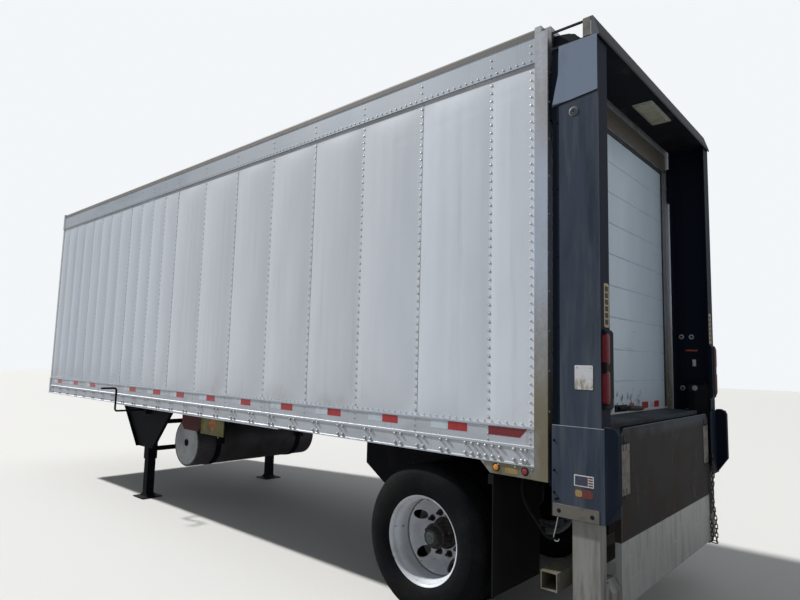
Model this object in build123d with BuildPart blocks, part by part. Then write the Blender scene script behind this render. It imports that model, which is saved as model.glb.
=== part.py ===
from build123d import *
import math
import os

os.makedirs("parts", exist_ok=True)

# Single axle van semi trailer with a nose cooling unit and a column tail lift.
# Millimetres. +X points to the kingpin, +Y to the left, +Z up.
# The origin lies on the ground under the middle of the bounding box.

# Driving dimensions of the van body
body_length = 8380
body_width = 2438
roof_height = 3897
rail_bottom = 1125
rail_height = 233
floor_thickness = 130
wall_thickness = 76
front_wall_thickness = 100
roof_thickness = 70
front_corner_radius = 60
panel_inset = 8
rail_web = 14

# Overhangs beyond the van body
unit_depth = 460
lift_reach = 416
crank_overhang = 333

# Clearances
running_gap = 0.3
panel_gap = 4

x_rear = lift_reach - (unit_depth + body_length + lift_reach) / 2
x_front = x_rear + body_length
x_wall_front = x_front - front_wall_thickness
y_mid = -crank_overhang / 2
half_width = body_width / 2
rail_top = rail_bottom + rail_height

sides = (("left", 1), ("right", -1))


def out_y(side, inset):
    """Y of a plane that lies inset from the trailer's side on one side."""
    return y_mid + side * (half_width - inset)


def bar(x_range, y_range, z_range, mode=Mode.ADD):
    """Adds or cuts a rectangular block between two limits on each axis."""
    low = [min(pair) for pair in (x_range, y_range, z_range)]
    size = [abs(pair[1] - pair[0]) for pair in (x_range, y_range, z_range)]
    centre = [a + s / 2 for a, s in zip(low, size)]
    with Locations(tuple(centre)):
        Box(*size, mode=mode)


def tube_x(y, z, radius, x_range, mode=Mode.ADD):
    """Adds or cuts a cylinder along X."""
    with Locations(Location((sum(x_range) / 2, y, z), (0, 90, 0))):
        Cylinder(radius, abs(x_range[1] - x_range[0]), mode=mode)


def tube_y(x, z, radius, y_range, mode=Mode.ADD):
    """Adds or cuts a cylinder along Y."""
    with Locations(Location((x, sum(y_range) / 2, z), (90, 0, 0))):
        Cylinder(radius, abs(y_range[1] - y_range[0]), mode=mode)


def tube_z(x, y, radius, z_range, mode=Mode.ADD):
    """Adds or cuts a cylinder along Z."""
    with Locations((x, y, sum(z_range) / 2)):
        Cylinder(radius, abs(z_range[1] - z_range[0]), mode=mode)


def section(plane, points):
    """A closed outline on a plane."""
    with BuildSketch(plane) as outline:
        with BuildLine():
            Polyline(*points, close=True)
        make_face()
    return outline.sketch


def plate_y(points, y_low, thickness, mode=Mode.ADD):
    """Adds or cuts a plate that lies lengthwise, from its (x, z) outline."""
    extrude(section(Plane.XZ.offset(-(y_low + thickness)), points), amount=thickness, mode=mode)


def plate_x(points, x_low, thickness, mode=Mode.ADD):
    """Adds or cuts a plate that lies crosswise, from its (y, z) outline."""
    extrude(section(Plane.YZ.offset(x_low), points), amount=thickness, mode=mode)


def side_points(side, points):
    """Turns (inset, z) pairs into points of a section across the trailer."""
    return [(out_y(side, inset), z) for inset, z in points]


def save(piece, label):
    """Names a finished piece and writes its file."""
    piece.part.label = label
    export_step(piece.part, "parts/" + label + ".step")


# Floor: one insulated slab that steps in above the bottom rails
floor_lift = 34
floor_top = rail_top + floor_lift
floor_bottom = floor_top - floor_thickness
post_depth = 90
upper_side = panel_inset + wall_thickness
left_half = side_points(1, (
    (rail_web, floor_bottom), (rail_web, rail_top), (upper_side, rail_top), (upper_side, floor_top)))
right_half = side_points(-1, (
    (upper_side, floor_top), (upper_side, rail_top), (rail_web, rail_top), (rail_web, floor_bottom)))
with BuildPart() as floor_deck:
    plate_x(left_half + right_half, x_rear + post_depth, x_wall_front - x_rear - post_depth)
save(floor_deck, "floor_deck")

# Crossmembers: rolled channels that stand on the bottom rails' inner flanges
rail_flange = 8
cross_bottom = rail_bottom + rail_flange
cross_flange = 55
cross_plate = 7
cross_pitch = 304.8
cross_first = x_rear + 150
cross_count = int((x_wall_front - cross_first - cross_flange) / cross_pitch) + 1
cross_outline = (
    (0, cross_bottom), (cross_flange, cross_bottom), (cross_flange, cross_bottom + cross_plate),
    (cross_plate, cross_bottom + cross_plate), (cross_plate, floor_bottom - cross_plate),
    (cross_flange, floor_bottom - cross_plate), (cross_flange, floor_bottom), (0, floor_bottom))
with BuildPart() as crossmembers:
    for number in range(cross_count):
        x_here = cross_first + number * cross_pitch
        plate_y([(x_here + px, pz) for px, pz in cross_outline], out_y(-1, rail_web), body_width - 2 * rail_web)
save(crossmembers, "crossmembers")

# Bottom rails: an extrusion with a middle ridge, beads and an inner flange
bead = 6
ridge_rise = 105
ridge_height = 13
rail_flange_width = 60
ridge_low = rail_bottom + ridge_rise
ridge_high = ridge_low + ridge_height
doubler_start, doubler_end = 2588, 5960
doubler_depth, doubler_width = 12, 46
rail_outline = (
    (0, rail_top), (0, rail_top - 10), (bead, rail_top - 14), (bead, ridge_high + 4), (0, ridge_high),
    (0, ridge_low), (bead, ridge_low - 4), (bead, rail_bottom + 14), (0, rail_bottom + 10), (0, rail_bottom),
    (rail_flange_width, rail_bottom), (rail_flange_width, cross_bottom), (rail_web, cross_bottom),
    (rail_web, rail_top))
for name, side in sides:
    with BuildPart() as bottom_rail:
        plate_x(side_points(side, rail_outline), x_rear + post_depth, x_wall_front - x_rear - post_depth)
        bar((x_rear + doubler_start, x_rear + doubler_end), (out_y(side, 1), out_y(side, doubler_width)),
            (rail_bottom - doubler_depth, rail_bottom))
    save(bottom_rail, "bottom_rail_" + name)

# Side walls: outer sheet, foam and lining in one slab, stepped behind the top rail
top_rail_depth = 233
roof_edge_step = 8
top_rail_bottom = roof_height - top_rail_depth
ceiling = roof_height - roof_thickness
roof_skin = roof_height - roof_edge_step
wall_outline = (
    (panel_inset, rail_top), (panel_inset, top_rail_bottom), (rail_web, top_rail_bottom),
    (rail_web, ceiling), (upper_side, ceiling), (upper_side, rail_top))
for name, side in sides:
    with BuildPart() as side_wall:
        plate_x(side_points(side, wall_outline), x_rear + post_depth, x_wall_front - x_rear - post_depth)
    save(side_wall, "side_wall_" + name)

# Top rails: an angle with a recessed rivet band, a gutter lip and a rounded shoulder
lip_drop = 57
shoulder = 20
top_flange = 80
lip_height = roof_height - lip_drop
top_outline = (
    (4, top_rail_bottom), (4, lip_height - 5),
    (0, lip_height), (0, lip_height + 8), (5, lip_height + 12), (5, roof_height - shoulder),
    (12, roof_height - 6), (5 + shoulder, roof_height), (top_flange, roof_height), (top_flange, roof_skin),
    (rail_web, roof_skin), (rail_web, top_rail_bottom))
for name, side in sides:
    with BuildPart() as top_rail:
        plate_x(side_points(side, top_outline), x_rear + post_depth, x_wall_front - x_rear - post_depth)
    save(top_rail, "top_rail_" + name)

# Roof: insulated slab with a slight crown between the top rails
crown = 6
left_half = side_points(1, ((rail_web, ceiling), (rail_web, roof_skin), (top_flange, roof_skin)))
right_half = side_points(-1, ((top_flange, roof_skin), (rail_web, roof_skin), (rail_web, ceiling)))
with BuildPart() as roof:
    plate_x(left_half + [(y_mid, roof_skin + crown)] + right_half,
            x_rear + post_depth, x_wall_front - x_rear - post_depth)
save(roof, "roof")


def front_plan(level, inset, depth):
    """Plan of the nose with its two rounded corners."""
    y_left = out_y(1, inset)
    y_right = out_y(-1, inset)
    radius = front_corner_radius - inset
    x_nose = x_front - inset
    x_back = x_front - depth
    with BuildSketch(Plane.XY.offset(level)) as plan:
        with BuildLine():
            Line((x_back, y_left), (x_nose - radius, y_left))
            RadiusArc((x_nose - radius, y_left), (x_nose, y_left - radius), radius)
            Line((x_nose, y_left - radius), (x_nose, y_right + radius))
            RadiusArc((x_nose, y_right + radius), (x_nose - radius, y_right), radius)
            Line((x_nose - radius, y_right), (x_back, y_right))
            Line((x_back, y_right), (x_back, y_left))
        make_face()
    return plan.sketch


# Nose: insulated wall between a bottom and a top rail that wrap the corners
with BuildPart() as front_wall:
    extrude(front_plan(rail_top, panel_inset, front_wall_thickness), amount=top_rail_bottom - rail_top)
save(front_wall, "front_wall")

with BuildPart() as front_rails:
    extrude(front_plan(rail_bottom, 0, front_wall_thickness), amount=rail_height)
    extrude(front_plan(top_rail_bottom, 0, front_wall_thickness), amount=top_rail_depth)
save(front_rails, "front_rails")

# Rear frame: posts, header and sill round the door opening, with notched top corners
post_drop = 73
post_width = 150
header_depth = 377
notch_width, notch_drop = 45, 41
post_bottom = rail_bottom - post_drop
door_top = roof_height - header_depth
door_width = body_width - 2 * post_width
frame_edge = (out_y(1, 0), out_y(-1, 0))
with BuildPart() as rear_frame:
    bar((x_rear, x_rear + post_depth), frame_edge, (post_bottom, roof_height))
    bar((x_rear, x_rear + post_depth), (out_y(1, post_width), out_y(-1, post_width)),
        (floor_top, door_top), mode=Mode.SUBTRACT)
    for name, side in sides:
        bar((x_rear, x_rear + post_depth / 2), (out_y(side, 0), out_y(side, notch_width)),
            (roof_height - notch_drop, roof_height), mode=Mode.SUBTRACT)
    bar((x_rear, x_rear + 6), (out_y(1, post_width), out_y(-1, post_width)),
        (door_top + 30, door_top + 160), mode=Mode.SUBTRACT)
save(rear_frame, "rear_frame")

# Roll up door: nine sections with a groove at each joint
door_sections = 9
door_thickness = 45
door_inset = 22
groove = 6
door_height = door_top - floor_top - panel_gap
section_height = door_height / door_sections
x_door = x_rear + door_inset
door_edge = [(x_door + door_thickness, floor_top), (x_door, floor_top)]
for number in range(1, door_sections):
    joint = floor_top + number * section_height
    door_edge += [(x_door, joint - groove), (x_door + groove, joint), (x_door, joint + groove)]
door_edge += [(x_door, floor_top + door_height), (x_door + door_thickness, floor_top + door_height)]
with BuildPart() as rollup_door:
    plate_y(door_edge, out_y(-1, post_width), door_width)
save(rollup_door, "rollup_door")

# Door latch: a keeper plate with a pull handle on the lowest section
latch_y = y_mid + 30
latch_plate = 8
latch_reach = 22
with BuildPart() as door_latch:
    bar((x_door - latch_plate, x_door), (latch_y - 110, latch_y + 110), (floor_top + 12, floor_top + 62))
    plate_y(((x_door - latch_plate, floor_top + 22), (x_door - latch_reach, floor_top + 30),
             (x_door - latch_reach, floor_top + 46), (x_door - latch_plate, floor_top + 54)),
            latch_y - 150, 210)
save(door_latch, "door_latch")

# Coupling: upper plate bored for the kingpin, which stands in it with its two flanges
plate_thickness = 8
coupler_length = 1500
coupler_nose = 60
kingpin_setback = 914
neck_radius, neck_length = 25.4, 35
flange_radius = 35.7
upper_flange, lower_flange = 18, 31
x_kingpin = x_front - kingpin_setback
plate_bottom = rail_bottom - plate_thickness
neck_top = plate_bottom - upper_flange
neck_bottom = neck_top - neck_length
with BuildPart() as coupler:
    bar((x_front - coupler_length, x_front - coupler_nose),
        (out_y(1, rail_flange_width + 1), out_y(-1, rail_flange_width + 1)), (plate_bottom, rail_bottom))
    tube_z(x_kingpin, y_mid, flange_radius + running_gap, (plate_bottom, rail_bottom), mode=Mode.SUBTRACT)
    tube_z(x_kingpin, y_mid, flange_radius, (neck_top, rail_bottom))
    tube_z(x_kingpin, y_mid, neck_radius, (neck_bottom, neck_top))
    tube_z(x_kingpin, y_mid, flange_radius, (neck_bottom - lower_flange, neck_bottom))
save(coupler, "coupler")

# Cooling unit on the nose
unit_width = 1950
unit_height = 2040
unit_drop = 97
unit_corner, unit_brow = 70, 60
grille_width, grille_height, grille_drop = 1400, 670, 180
grille_frame, grille_depth = 28, 30
unit_top = roof_height - unit_drop
grille_top = unit_top - grille_drop
grille_bottom = grille_top - grille_height
x_unit = x_front + unit_depth
unit_edge = (y_mid - unit_width / 2, y_mid + unit_width / 2)
grille_edge = (y_mid - grille_width / 2, y_mid + grille_width / 2)
with BuildPart() as reefer_housing:
    bar((x_front, x_unit), unit_edge, (unit_top - unit_height, unit_top))
    chamfer(reefer_housing.edges().filter_by(Axis.Z).group_by(Axis.X)[-1], unit_corner)
    chamfer(reefer_housing.faces().sort_by(Axis.X)[-1].edges().filter_by(Axis.Y), unit_brow)
    bar((x_unit - grille_depth, x_unit), grille_edge, (grille_bottom, grille_top), mode=Mode.SUBTRACT)
save(reefer_housing, "reefer_housing")

grille_slats = 12
slat_depth, slat_thickness, slat_fall = 20, 5, 14
with BuildPart() as reefer_grille:
    x_slat = x_unit - grille_depth
    for y_post in (grille_edge[0], grille_edge[1] - grille_frame):
        bar((x_slat, x_slat + slat_depth), (y_post, y_post + grille_frame), (grille_bottom, grille_top))
    slat_pitch = grille_height / grille_slats
    for number in range(grille_slats):
        z_slat = grille_bottom + (number + 0.5) * slat_pitch
        plate_y(((x_slat, z_slat + slat_thickness), (x_slat, z_slat),
                 (x_slat + slat_depth, z_slat - slat_fall), (x_slat + slat_depth, z_slat - slat_fall + slat_thickness)),
                grille_edge[0] + grille_frame, grille_width - 2 * grille_frame)
save(reefer_grille, "reefer_grille")

# Landing gear: square legs with sand shoes, wing plates and cross braces
leg_setback = 5560
leg_spread = 319
leg_outer, leg_inner = 114, 95
leg_exposed = 460
foot_size, foot_height, foot_crown = 250, 12, 40
x_leg = x_rear + leg_setback
with BuildPart() as landing_legs:
    for name, side in sides:
        y_leg = out_y(side, leg_spread)
        for width, low, high in ((leg_outer, leg_exposed, cross_bottom), (leg_inner, foot_height, leg_exposed),
                                 (foot_size, 0, foot_height)):
            bar((x_leg - width / 2, x_leg + width / 2), (y_leg - width / 2, y_leg + width / 2), (low, high))
        plate_y(((x_leg - foot_size * 0.4, foot_height), (x_leg + foot_size * 0.4, foot_height),
                 (x_leg + leg_inner / 2, foot_height + foot_crown), (x_leg - leg_inner / 2, foot_height + foot_crown)),
                y_leg - leg_inner / 2, leg_inner)
save(landing_legs, "landing_legs")

wing_thickness, wing_flange = 8, 40
wing_half_top, wing_half_bottom = 675, 205
wing_bottom = 600
brace_size = 50
with BuildPart() as landing_brackets:
    for name, side in sides:
        y_wing = out_y(side, leg_spread) + side * leg_outer / 2
        y_flange = y_wing + side * wing_flange
        y_skin = y_wing + side * wing_thickness
        plate_y(((x_leg - wing_half_top, cross_bottom), (x_leg + wing_half_top, cross_bottom),
                 (x_leg + wing_half_bottom, wing_bottom), (x_leg - wing_half_bottom, wing_bottom)),
                min(y_wing, y_skin), wing_thickness)
        for end in (1, -1):
            plate_y(((x_leg + end * wing_half_top, cross_bottom), (x_leg + end * wing_half_bottom, wing_bottom),
                     (x_leg + end * (wing_half_bottom - 10), wing_bottom),
                     (x_leg + end * (wing_half_top - 10), cross_bottom)),
                    min(y_skin, y_flange), wing_flange - wing_thickness)
    brace_reach = half_width - leg_spread - leg_outer / 2
    for z_brace in (wing_bottom - brace_size / 2, wing_bottom + 300):
        bar((x_leg - brace_size / 2, x_leg + brace_size / 2), (y_mid - brace_reach, y_mid + brace_reach),
            (z_brace - brace_size / 2, z_brace + brace_size / 2))
save(landing_brackets, "landing_brackets")

# Landing gear drive: gearbox on the left leg and the unfolded crank
gearbox_length, gearbox_height, gearbox_depth = 120, 100, 70
crank_drop = 65
crank_arm = 270
crank_radius = 12
grip_length = 176
crank_bend = 28
crank_z = rail_bottom - crank_drop
with BuildPart() as landing_crank:
    y_start = out_y(1, leg_spread) + leg_outer / 2 + wing_thickness
    y_drive = y_start + gearbox_depth
    y_elbow = y_mid + half_width + crank_overhang - grip_length
    bar((x_leg - gearbox_length / 2, x_leg + gearbox_length / 2), (y_start, y_drive),
        (crank_z - gearbox_height / 2, crank_z + gearbox_height / 2))
    with BuildLine() as crank_path:
        FilletPolyline((x_leg, y_drive, crank_z), (x_leg, y_elbow, crank_z), (x_leg, y_elbow, crank_z + crank_arm),
                       (x_leg, y_mid + half_width + crank_overhang, crank_z + crank_arm), radius=crank_bend)
    with BuildSketch(Plane(crank_path.line @ 0, z_dir=crank_path.line % 0)):
        RegularPolygon(crank_radius, 6)
    sweep(path=crank_path.line)
save(landing_crank, "landing_crank")

# Fuel tank across the trailer, with a filler cap at each end
tank_setback = 4805
tank_radius = 270
tank_half = 850
tank_z = 728
tank_edge = 22
tank_sides = 28
cap_radius, cap_height = 40, 8
x_tank = x_rear + tank_setback
with BuildPart() as fuel_tank:
    with BuildSketch(Plane.XZ.offset(-(y_mid + tank_half))):
        with Locations((x_tank, tank_z)):
            RegularPolygon(tank_radius, tank_sides, major_radius=False)
    extrude(amount=2 * tank_half)
    for end in (0, -1):
        chamfer(fuel_tank.faces().sort_by(Axis.Y)[end].edges(), tank_edge)
    for name, side in sides:
        with BuildSketch(Plane.XZ.offset(-(y_mid + side * tank_half))):
            with Locations((x_tank, tank_z)):
                RegularPolygon(cap_radius, 12)
        extrude(amount=-side * cap_height)
save(fuel_tank, "fuel_tank")

# Tank straps: half hoops under the tank that hang from two drop plates each
strap_offset = 585
strap_width, strap_thickness = 70, 5
drop_width, saddle_depth = 60, 50
hoop_radius = tank_radius + running_gap
hoop_corner = hoop_radius / math.cos(math.pi / tank_sides) + 1
with BuildPart() as tank_straps:
    for name, side in sides:
        y_low = y_mid + side * strap_offset - strap_width / 2
        with BuildSketch(Plane.XZ.offset(-(y_low + strap_width))):
            with Locations((x_tank, tank_z)):
                RegularPolygon(hoop_radius + strap_thickness, tank_sides, major_radius=False)
                RegularPolygon(hoop_radius, tank_sides, major_radius=False, mode=Mode.SUBTRACT)
        extrude(amount=strap_width)
        for end in (1, -1):
            x_inner = x_tank + end * hoop_corner
            bar((x_inner, x_inner + end * drop_width), (y_low, y_low + strap_width), (tank_z, cross_bottom))
        bar((x_tank - hoop_corner, x_tank + hoop_corner), (y_low, y_low + strap_width),
            (cross_bottom - saddle_depth, cross_bottom))
save(tank_straps, "tank_straps")

# Running gear: twin wheels each side of one trailing arm axle
axle_setback = 973
tyre_radius = 509
tyre_width = 280
rim_radius = 286
dual_spacing = 330
tyre_inset = 20
wheel_sides, hub_sides = 24, 12
x_axle = x_rear + axle_setback
axle_z = tyre_radius
outer_inset = tyre_inset + tyre_width / 2
inner_inset = outer_inset + dual_spacing
plane_inset = (outer_inset + inner_inset) / 2


def faceted(plane, radius, count, bore=0):
    """A many sided disc or ring, measured across its flats, with a flat side down."""
    with BuildSketch(plane) as outline:
        RegularPolygon(radius, count, major_radius=False, rotation=180 / count)
        if bore:
            RegularPolygon(bore, count, major_radius=False, rotation=180 / count, mode=Mode.SUBTRACT)
    return outline.sketch


def across(y):
    """Plane across the axle at one Y, facing the right side."""
    return Plane.XZ.offset(-y)


# Tyre casing: shoulders, dished sidewalls and a bead seat for the rim
bead_half = 94
wall_radius = 396
shoulder_radius, shoulder_width = 480, 43
bead_bore = rim_radius + running_gap
with BuildPart() as casing:
    extrude(faceted(across(tyre_width / 2), tyre_radius, wheel_sides, bore=bead_bore), amount=tyre_width)
    for end in (0, -1):
        wall = casing.faces().sort_by(Axis.Y)[end]
        chamfer(wall.outer_wire().edges(), length=tyre_radius - shoulder_radius, length2=shoulder_width, reference=wall)
    for end in (0, -1):
        wall = casing.faces().sort_by(Axis.Y)[end]
        chamfer(wall.inner_wires()[0].edges(), length=wall_radius - bead_bore, length2=tyre_width / 2 - bead_half,
                reference=wall)

# Wheel: barrel with a flared lip and a dished disc whose back face meets its twin
hub_pilot = 110
barrel_half = 107
lip_radius, lip_width = 297, 8
barrel_bore = 266
flare_radius, flare_depth = 284, 45
dish_start, dish_land = 50, 12
disc_thickness = 10
disc_flat = 195
hand_holes = 5
hand_hole_circle, hand_hole_radius = 213, 32
disc_back = dual_spacing / 2
with BuildPart() as dish:
    dish_radius = barrel_bore + 1 - disc_thickness
    extrude(faceted(across(1 - dish_start), dish_radius, wheel_sides), amount=disc_back - disc_thickness - dish_start + 1)
    floor = dish.faces().sort_by(Axis.Y)[0]
    chamfer(floor.edges(), length=dish_radius - disc_flat + disc_thickness / 2, reference=floor,
            length2=disc_back - dish_start - dish_land)
with BuildPart() as wheel:
    extrude(faceted(across(-dish_start), barrel_bore + 1, wheel_sides), amount=disc_back - dish_start)
    back = wheel.faces().sort_by(Axis.Y)[0]
    chamfer(back.edges(), length=barrel_bore + 1 - disc_flat, length2=disc_back - dish_start - dish_land, reference=back)
    extrude(faceted(across(barrel_half), rim_radius, wheel_sides, bore=barrel_bore), amount=2 * barrel_half)
    extrude(faceted(across(barrel_half), lip_radius, wheel_sides, bore=barrel_bore), amount=lip_width)
    mouth = wheel.faces().sort_by(Axis.Y)[-1]
    chamfer(mouth.inner_wires()[0].edges(), length=flare_radius - barrel_bore, length2=flare_depth, reference=mouth)
    add(dish.part, mode=Mode.SUBTRACT)
    extrude(faceted(across(disc_thickness - disc_back), hub_pilot, hub_sides), amount=disc_thickness, mode=Mode.SUBTRACT)
    with BuildSketch(across(-disc_back)):
        with PolarLocations(hand_hole_circle, hand_holes, start_angle=18):
            RegularPolygon(hand_hole_radius, 8)
    extrude(amount=-disc_back / 2, mode=Mode.SUBTRACT)

# Hub: nose with the twin discs clamped on its pilot, and the brake drum behind them
spindle_radius = 38
hub_nose_radius = 72
nose_reach, nose_flare, bearing_depth = 200, 66, 60
drum_radius, drum_bore, drum_reach, drum_start = 200, 186, 250, 70
flange_size = 165
with_disc = disc_thickness + running_gap
pilot_radius = hub_pilot - running_gap
with BuildPart() as hub_body:
    extrude(faceted(across(nose_reach), hub_nose_radius, hub_sides), amount=nose_reach - with_disc)
    nose = hub_body.faces().sort_by(Axis.Y)[-1]
    chamfer(nose.edges(), length=12)
    extrude(faceted(across(with_disc + nose_flare), pilot_radius, hub_sides), amount=nose_flare + 2 * with_disc)
    extrude(faceted(across(-with_disc), flange_size, hub_sides), amount=drum_start)
    extrude(faceted(across(-drum_start), drum_radius, hub_sides), amount=drum_reach - drum_start)
    extrude(faceted(across(-with_disc - drum_start), drum_bore, hub_sides), amount=drum_reach, mode=Mode.SUBTRACT)
    tube_y(0, 0, spindle_radius + running_gap, (nose_reach - bearing_depth, -drum_reach), mode=Mode.SUBTRACT)

for name, side in sides:
    with BuildPart() as tyres:
        for inset in (outer_inset, inner_inset):
            with Locations((x_axle, out_y(side, inset), axle_z)):
                add(casing.part)
    save(tyres, "tyres_" + name)

    with BuildPart() as rims:
        for inset, turn in ((outer_inset, side), (inner_inset, -side)):
            with Locations(Location((x_axle, out_y(side, inset), axle_z), (0, 0, 0 if turn > 0 else 180))):
                add(wheel.part)
    save(rims, "rims_" + name)

    with BuildPart() as hub:
        with Locations(Location((x_axle, out_y(side, plane_inset), axle_z), (0, 0, 0 if side > 0 else 180))):
            add(hub_body.part)
    save(hub, "hub_" + name)

# Axle: tube with stepped spindles and a brake chamber ahead of each drum
axle_radius, axle_sides = 63.5, 16
chamber_radius, chamber_length, chamber_offset = 95, 190, 200
chamber_lead, chamber_rise, chamber_sides = 240, 60, 16
with BuildPart() as axle:
    shoulder_inset = plane_inset + drum_start + 16
    spindle_inset = plane_inset - nose_reach + bearing_depth + 4
    with BuildSketch(across(out_y(1, shoulder_inset))):
        with Locations((x_axle, axle_z)):
            RegularPolygon(axle_radius, axle_sides)
    extrude(amount=2 * (half_width - shoulder_inset))
    tube_y(x_axle, axle_z, spindle_radius, (out_y(1, spindle_inset), out_y(-1, spindle_inset)))
    for name, side in sides:
        y_chamber = y_mid + side * chamber_offset
        x_chamber = x_axle - chamber_lead + chamber_length / 2
        with BuildSketch(Plane.YZ.offset(x_chamber)):
            with Locations((y_chamber, axle_z + chamber_rise)):
                RegularPolygon(chamber_radius, chamber_sides)
        extrude(amount=-chamber_length)
        bar((x_chamber, x_axle), (y_chamber - 40, y_chamber + 40), (axle_z - 40, axle_z + 20))
save(axle, "axle")

# Suspension: subframe of two box rails on ties, with a hanger for each trailing arm
frame_half = 430
frame_depth = 90
frame_drop = 225
frame_rear, frame_front = 760, 1240
arm_width = 66
pivot_radius, pivot_sides = 20, 8
pivot_lead = 620
hanger_width, hanger_foot, hanger_length = 60, 45, 740
tie_size, tie_height = 80, 100
tie_leads = (60 - frame_rear, 250, frame_front - 140)
reservoir_radius, reservoir_sides, reservoir_margin = 120, 16, 60
reservoir_z = 1003
frame_bottom = rail_bottom - frame_drop
x_pivot, pivot_z = x_axle + pivot_lead, 485
with BuildPart() as suspension_subframe:
    for name, side in sides:
        y_rail = y_mid + side * frame_half
        bar((x_axle - frame_rear, x_axle + frame_front), (y_rail - frame_depth / 2, y_rail + frame_depth / 2),
            (frame_bottom, cross_bottom))
        plate_y(((x_axle + frame_front, frame_bottom), (x_axle + frame_front, frame_bottom - 100),
                 (x_pivot + hanger_width, pivot_z - hanger_foot), (x_pivot - hanger_width, pivot_z - hanger_foot),
                 (x_axle + frame_front - hanger_length, frame_bottom)), y_rail - frame_depth / 2, frame_depth)
        bar((x_pivot - 150, x_pivot + 100), (y_rail - arm_width / 2 - 1, y_rail + arm_width / 2 + 1),
            (pivot_z - 55, pivot_z + 215), mode=Mode.SUBTRACT)
        with BuildSketch(across(y_rail + frame_depth / 2)):
            with Locations((x_pivot, pivot_z)):
                RegularPolygon(pivot_radius, pivot_sides, major_radius=False)
        extrude(amount=frame_depth)
        for z_slot in (frame_bottom + 70, frame_bottom + 150):
            bar((x_axle + frame_front - 30, x_axle + frame_front), (y_rail - 12, y_rail + 12), (z_slot, z_slot + 40),
                mode=Mode.SUBTRACT)
    for lead in tie_leads:
        bar((x_axle + lead - tie_size / 2, x_axle + lead + tie_size / 2), (y_mid - frame_half, y_mid + frame_half),
            (frame_bottom + 40, frame_bottom + 40 + tie_height))
    # air reservoir against the middle tie
    with BuildSketch(across(y_mid + frame_half - reservoir_margin)):
        with Locations((x_axle + tie_leads[1] + tie_size / 2 + reservoir_radius, reservoir_z)):
            RegularPolygon(reservoir_radius, reservoir_sides, major_radius=False, rotation=180 / reservoir_sides)
    extrude(amount=2 * (frame_half - reservoir_margin))
save(suspension_subframe, "suspension_subframe")

bag_lag = 400
bag_radius, bag_sides, bag_height = 120, 16, 200
bag_neck, bag_shoulder = 35, 40
bag_bottom = 560
arm_tail = 530
with BuildPart() as trailing_arms:
    for name, side in sides:
        y_arm = y_mid + side * frame_half
        plate_y(((x_pivot + 45, pivot_z + 40), (x_pivot + 45, pivot_z - 40), (x_axle - 80, axle_z - 94),
                 (x_axle - arm_tail, bag_bottom - 40), (x_axle - arm_tail, bag_bottom),
                 (x_axle - bag_lag + 130, bag_bottom), (x_axle - 100, axle_z + 91), (x_axle + 120, axle_z + 91)),
                y_arm - arm_width / 2, arm_width)
        with BuildSketch(across(y_arm + arm_width / 2)):
            with Locations((x_axle, axle_z)):
                RegularPolygon(axle_radius, axle_sides)
            with Locations((x_pivot, pivot_z)):
                RegularPolygon(pivot_radius + running_gap, pivot_sides, major_radius=False)
        extrude(amount=arm_width, mode=Mode.SUBTRACT)
save(trailing_arms, "trailing_arms")

with BuildPart() as bellows:
    extrude(faceted(Plane.XY, bag_radius, bag_sides), amount=bag_height)
    for end in (0, -1):
        chamfer(bellows.faces().sort_by(Axis.Z)[end].edges(), length=bag_neck, length2=bag_shoulder,
                reference=bellows.faces().sort_by(Axis.Z)[end])
    extrude(faceted(Plane.XY.offset(bag_bottom + bag_height - frame_bottom), bag_radius - bag_neck, bag_sides),
            amount=frame_bottom - bag_bottom - bag_height)
with BuildPart() as air_springs:
    for name, side in sides:
        with Locations((x_axle - bag_lag, y_mid + side * frame_half, frame_bottom - bag_height)):
            add(bellows.part)
save(air_springs, "air_springs")

# Mud flaps on brackets behind the wheels
flap_lead = 380
flap_width, flap_thickness = 600, 8
flap_bottom, flap_top = 300, 1040
flap_inset = 15
hanger_depth, hanger_height = 32, 60
flap_x = x_rear + flap_lead
with BuildPart() as mud_flaps:
    for name, side in sides:
        bar((flap_x, flap_x + flap_thickness), (out_y(side, flap_inset), out_y(side, flap_inset + flap_width)),
            (flap_bottom, flap_top))
        bar((flap_x + flap_thickness, flap_x + flap_thickness + hanger_depth),
            (out_y(side, flap_inset), y_mid + side * (frame_half + frame_depth / 2)), (flap_top - hanger_height, flap_top))
save(mud_flaps, "mud_flaps")

# Rear underride guard: an open ended square tube on two uprights
guard_size, guard_wall = 105, 6
guard_z = 480
guard_lead = 25
guard_inset = 60
upright_offset, upright_width, upright_depth = 560, 100, 80
x_guard = x_rear + guard_lead
with BuildPart() as underride_guard:
    half_guard = guard_size / 2
    bar((x_guard - half_guard, x_guard + half_guard), (out_y(1, guard_inset), out_y(-1, guard_inset)),
        (guard_z - half_guard, guard_z + half_guard))
    half_bore = half_guard - guard_wall
    bar((x_guard - half_bore, x_guard + half_bore), (out_y(1, guard_inset), out_y(-1, guard_inset)),
        (guard_z - half_bore, guard_z + half_bore), mode=Mode.SUBTRACT)
    for name, side in sides:
        y_upright = y_mid + side * upright_offset
        bar((x_guard - upright_depth / 2, x_guard + upright_depth / 2),
            (y_upright - upright_width / 2, y_upright + upright_width / 2), (guard_z + half_guard, post_bottom))
save(underride_guard, "underride_guard")

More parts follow.
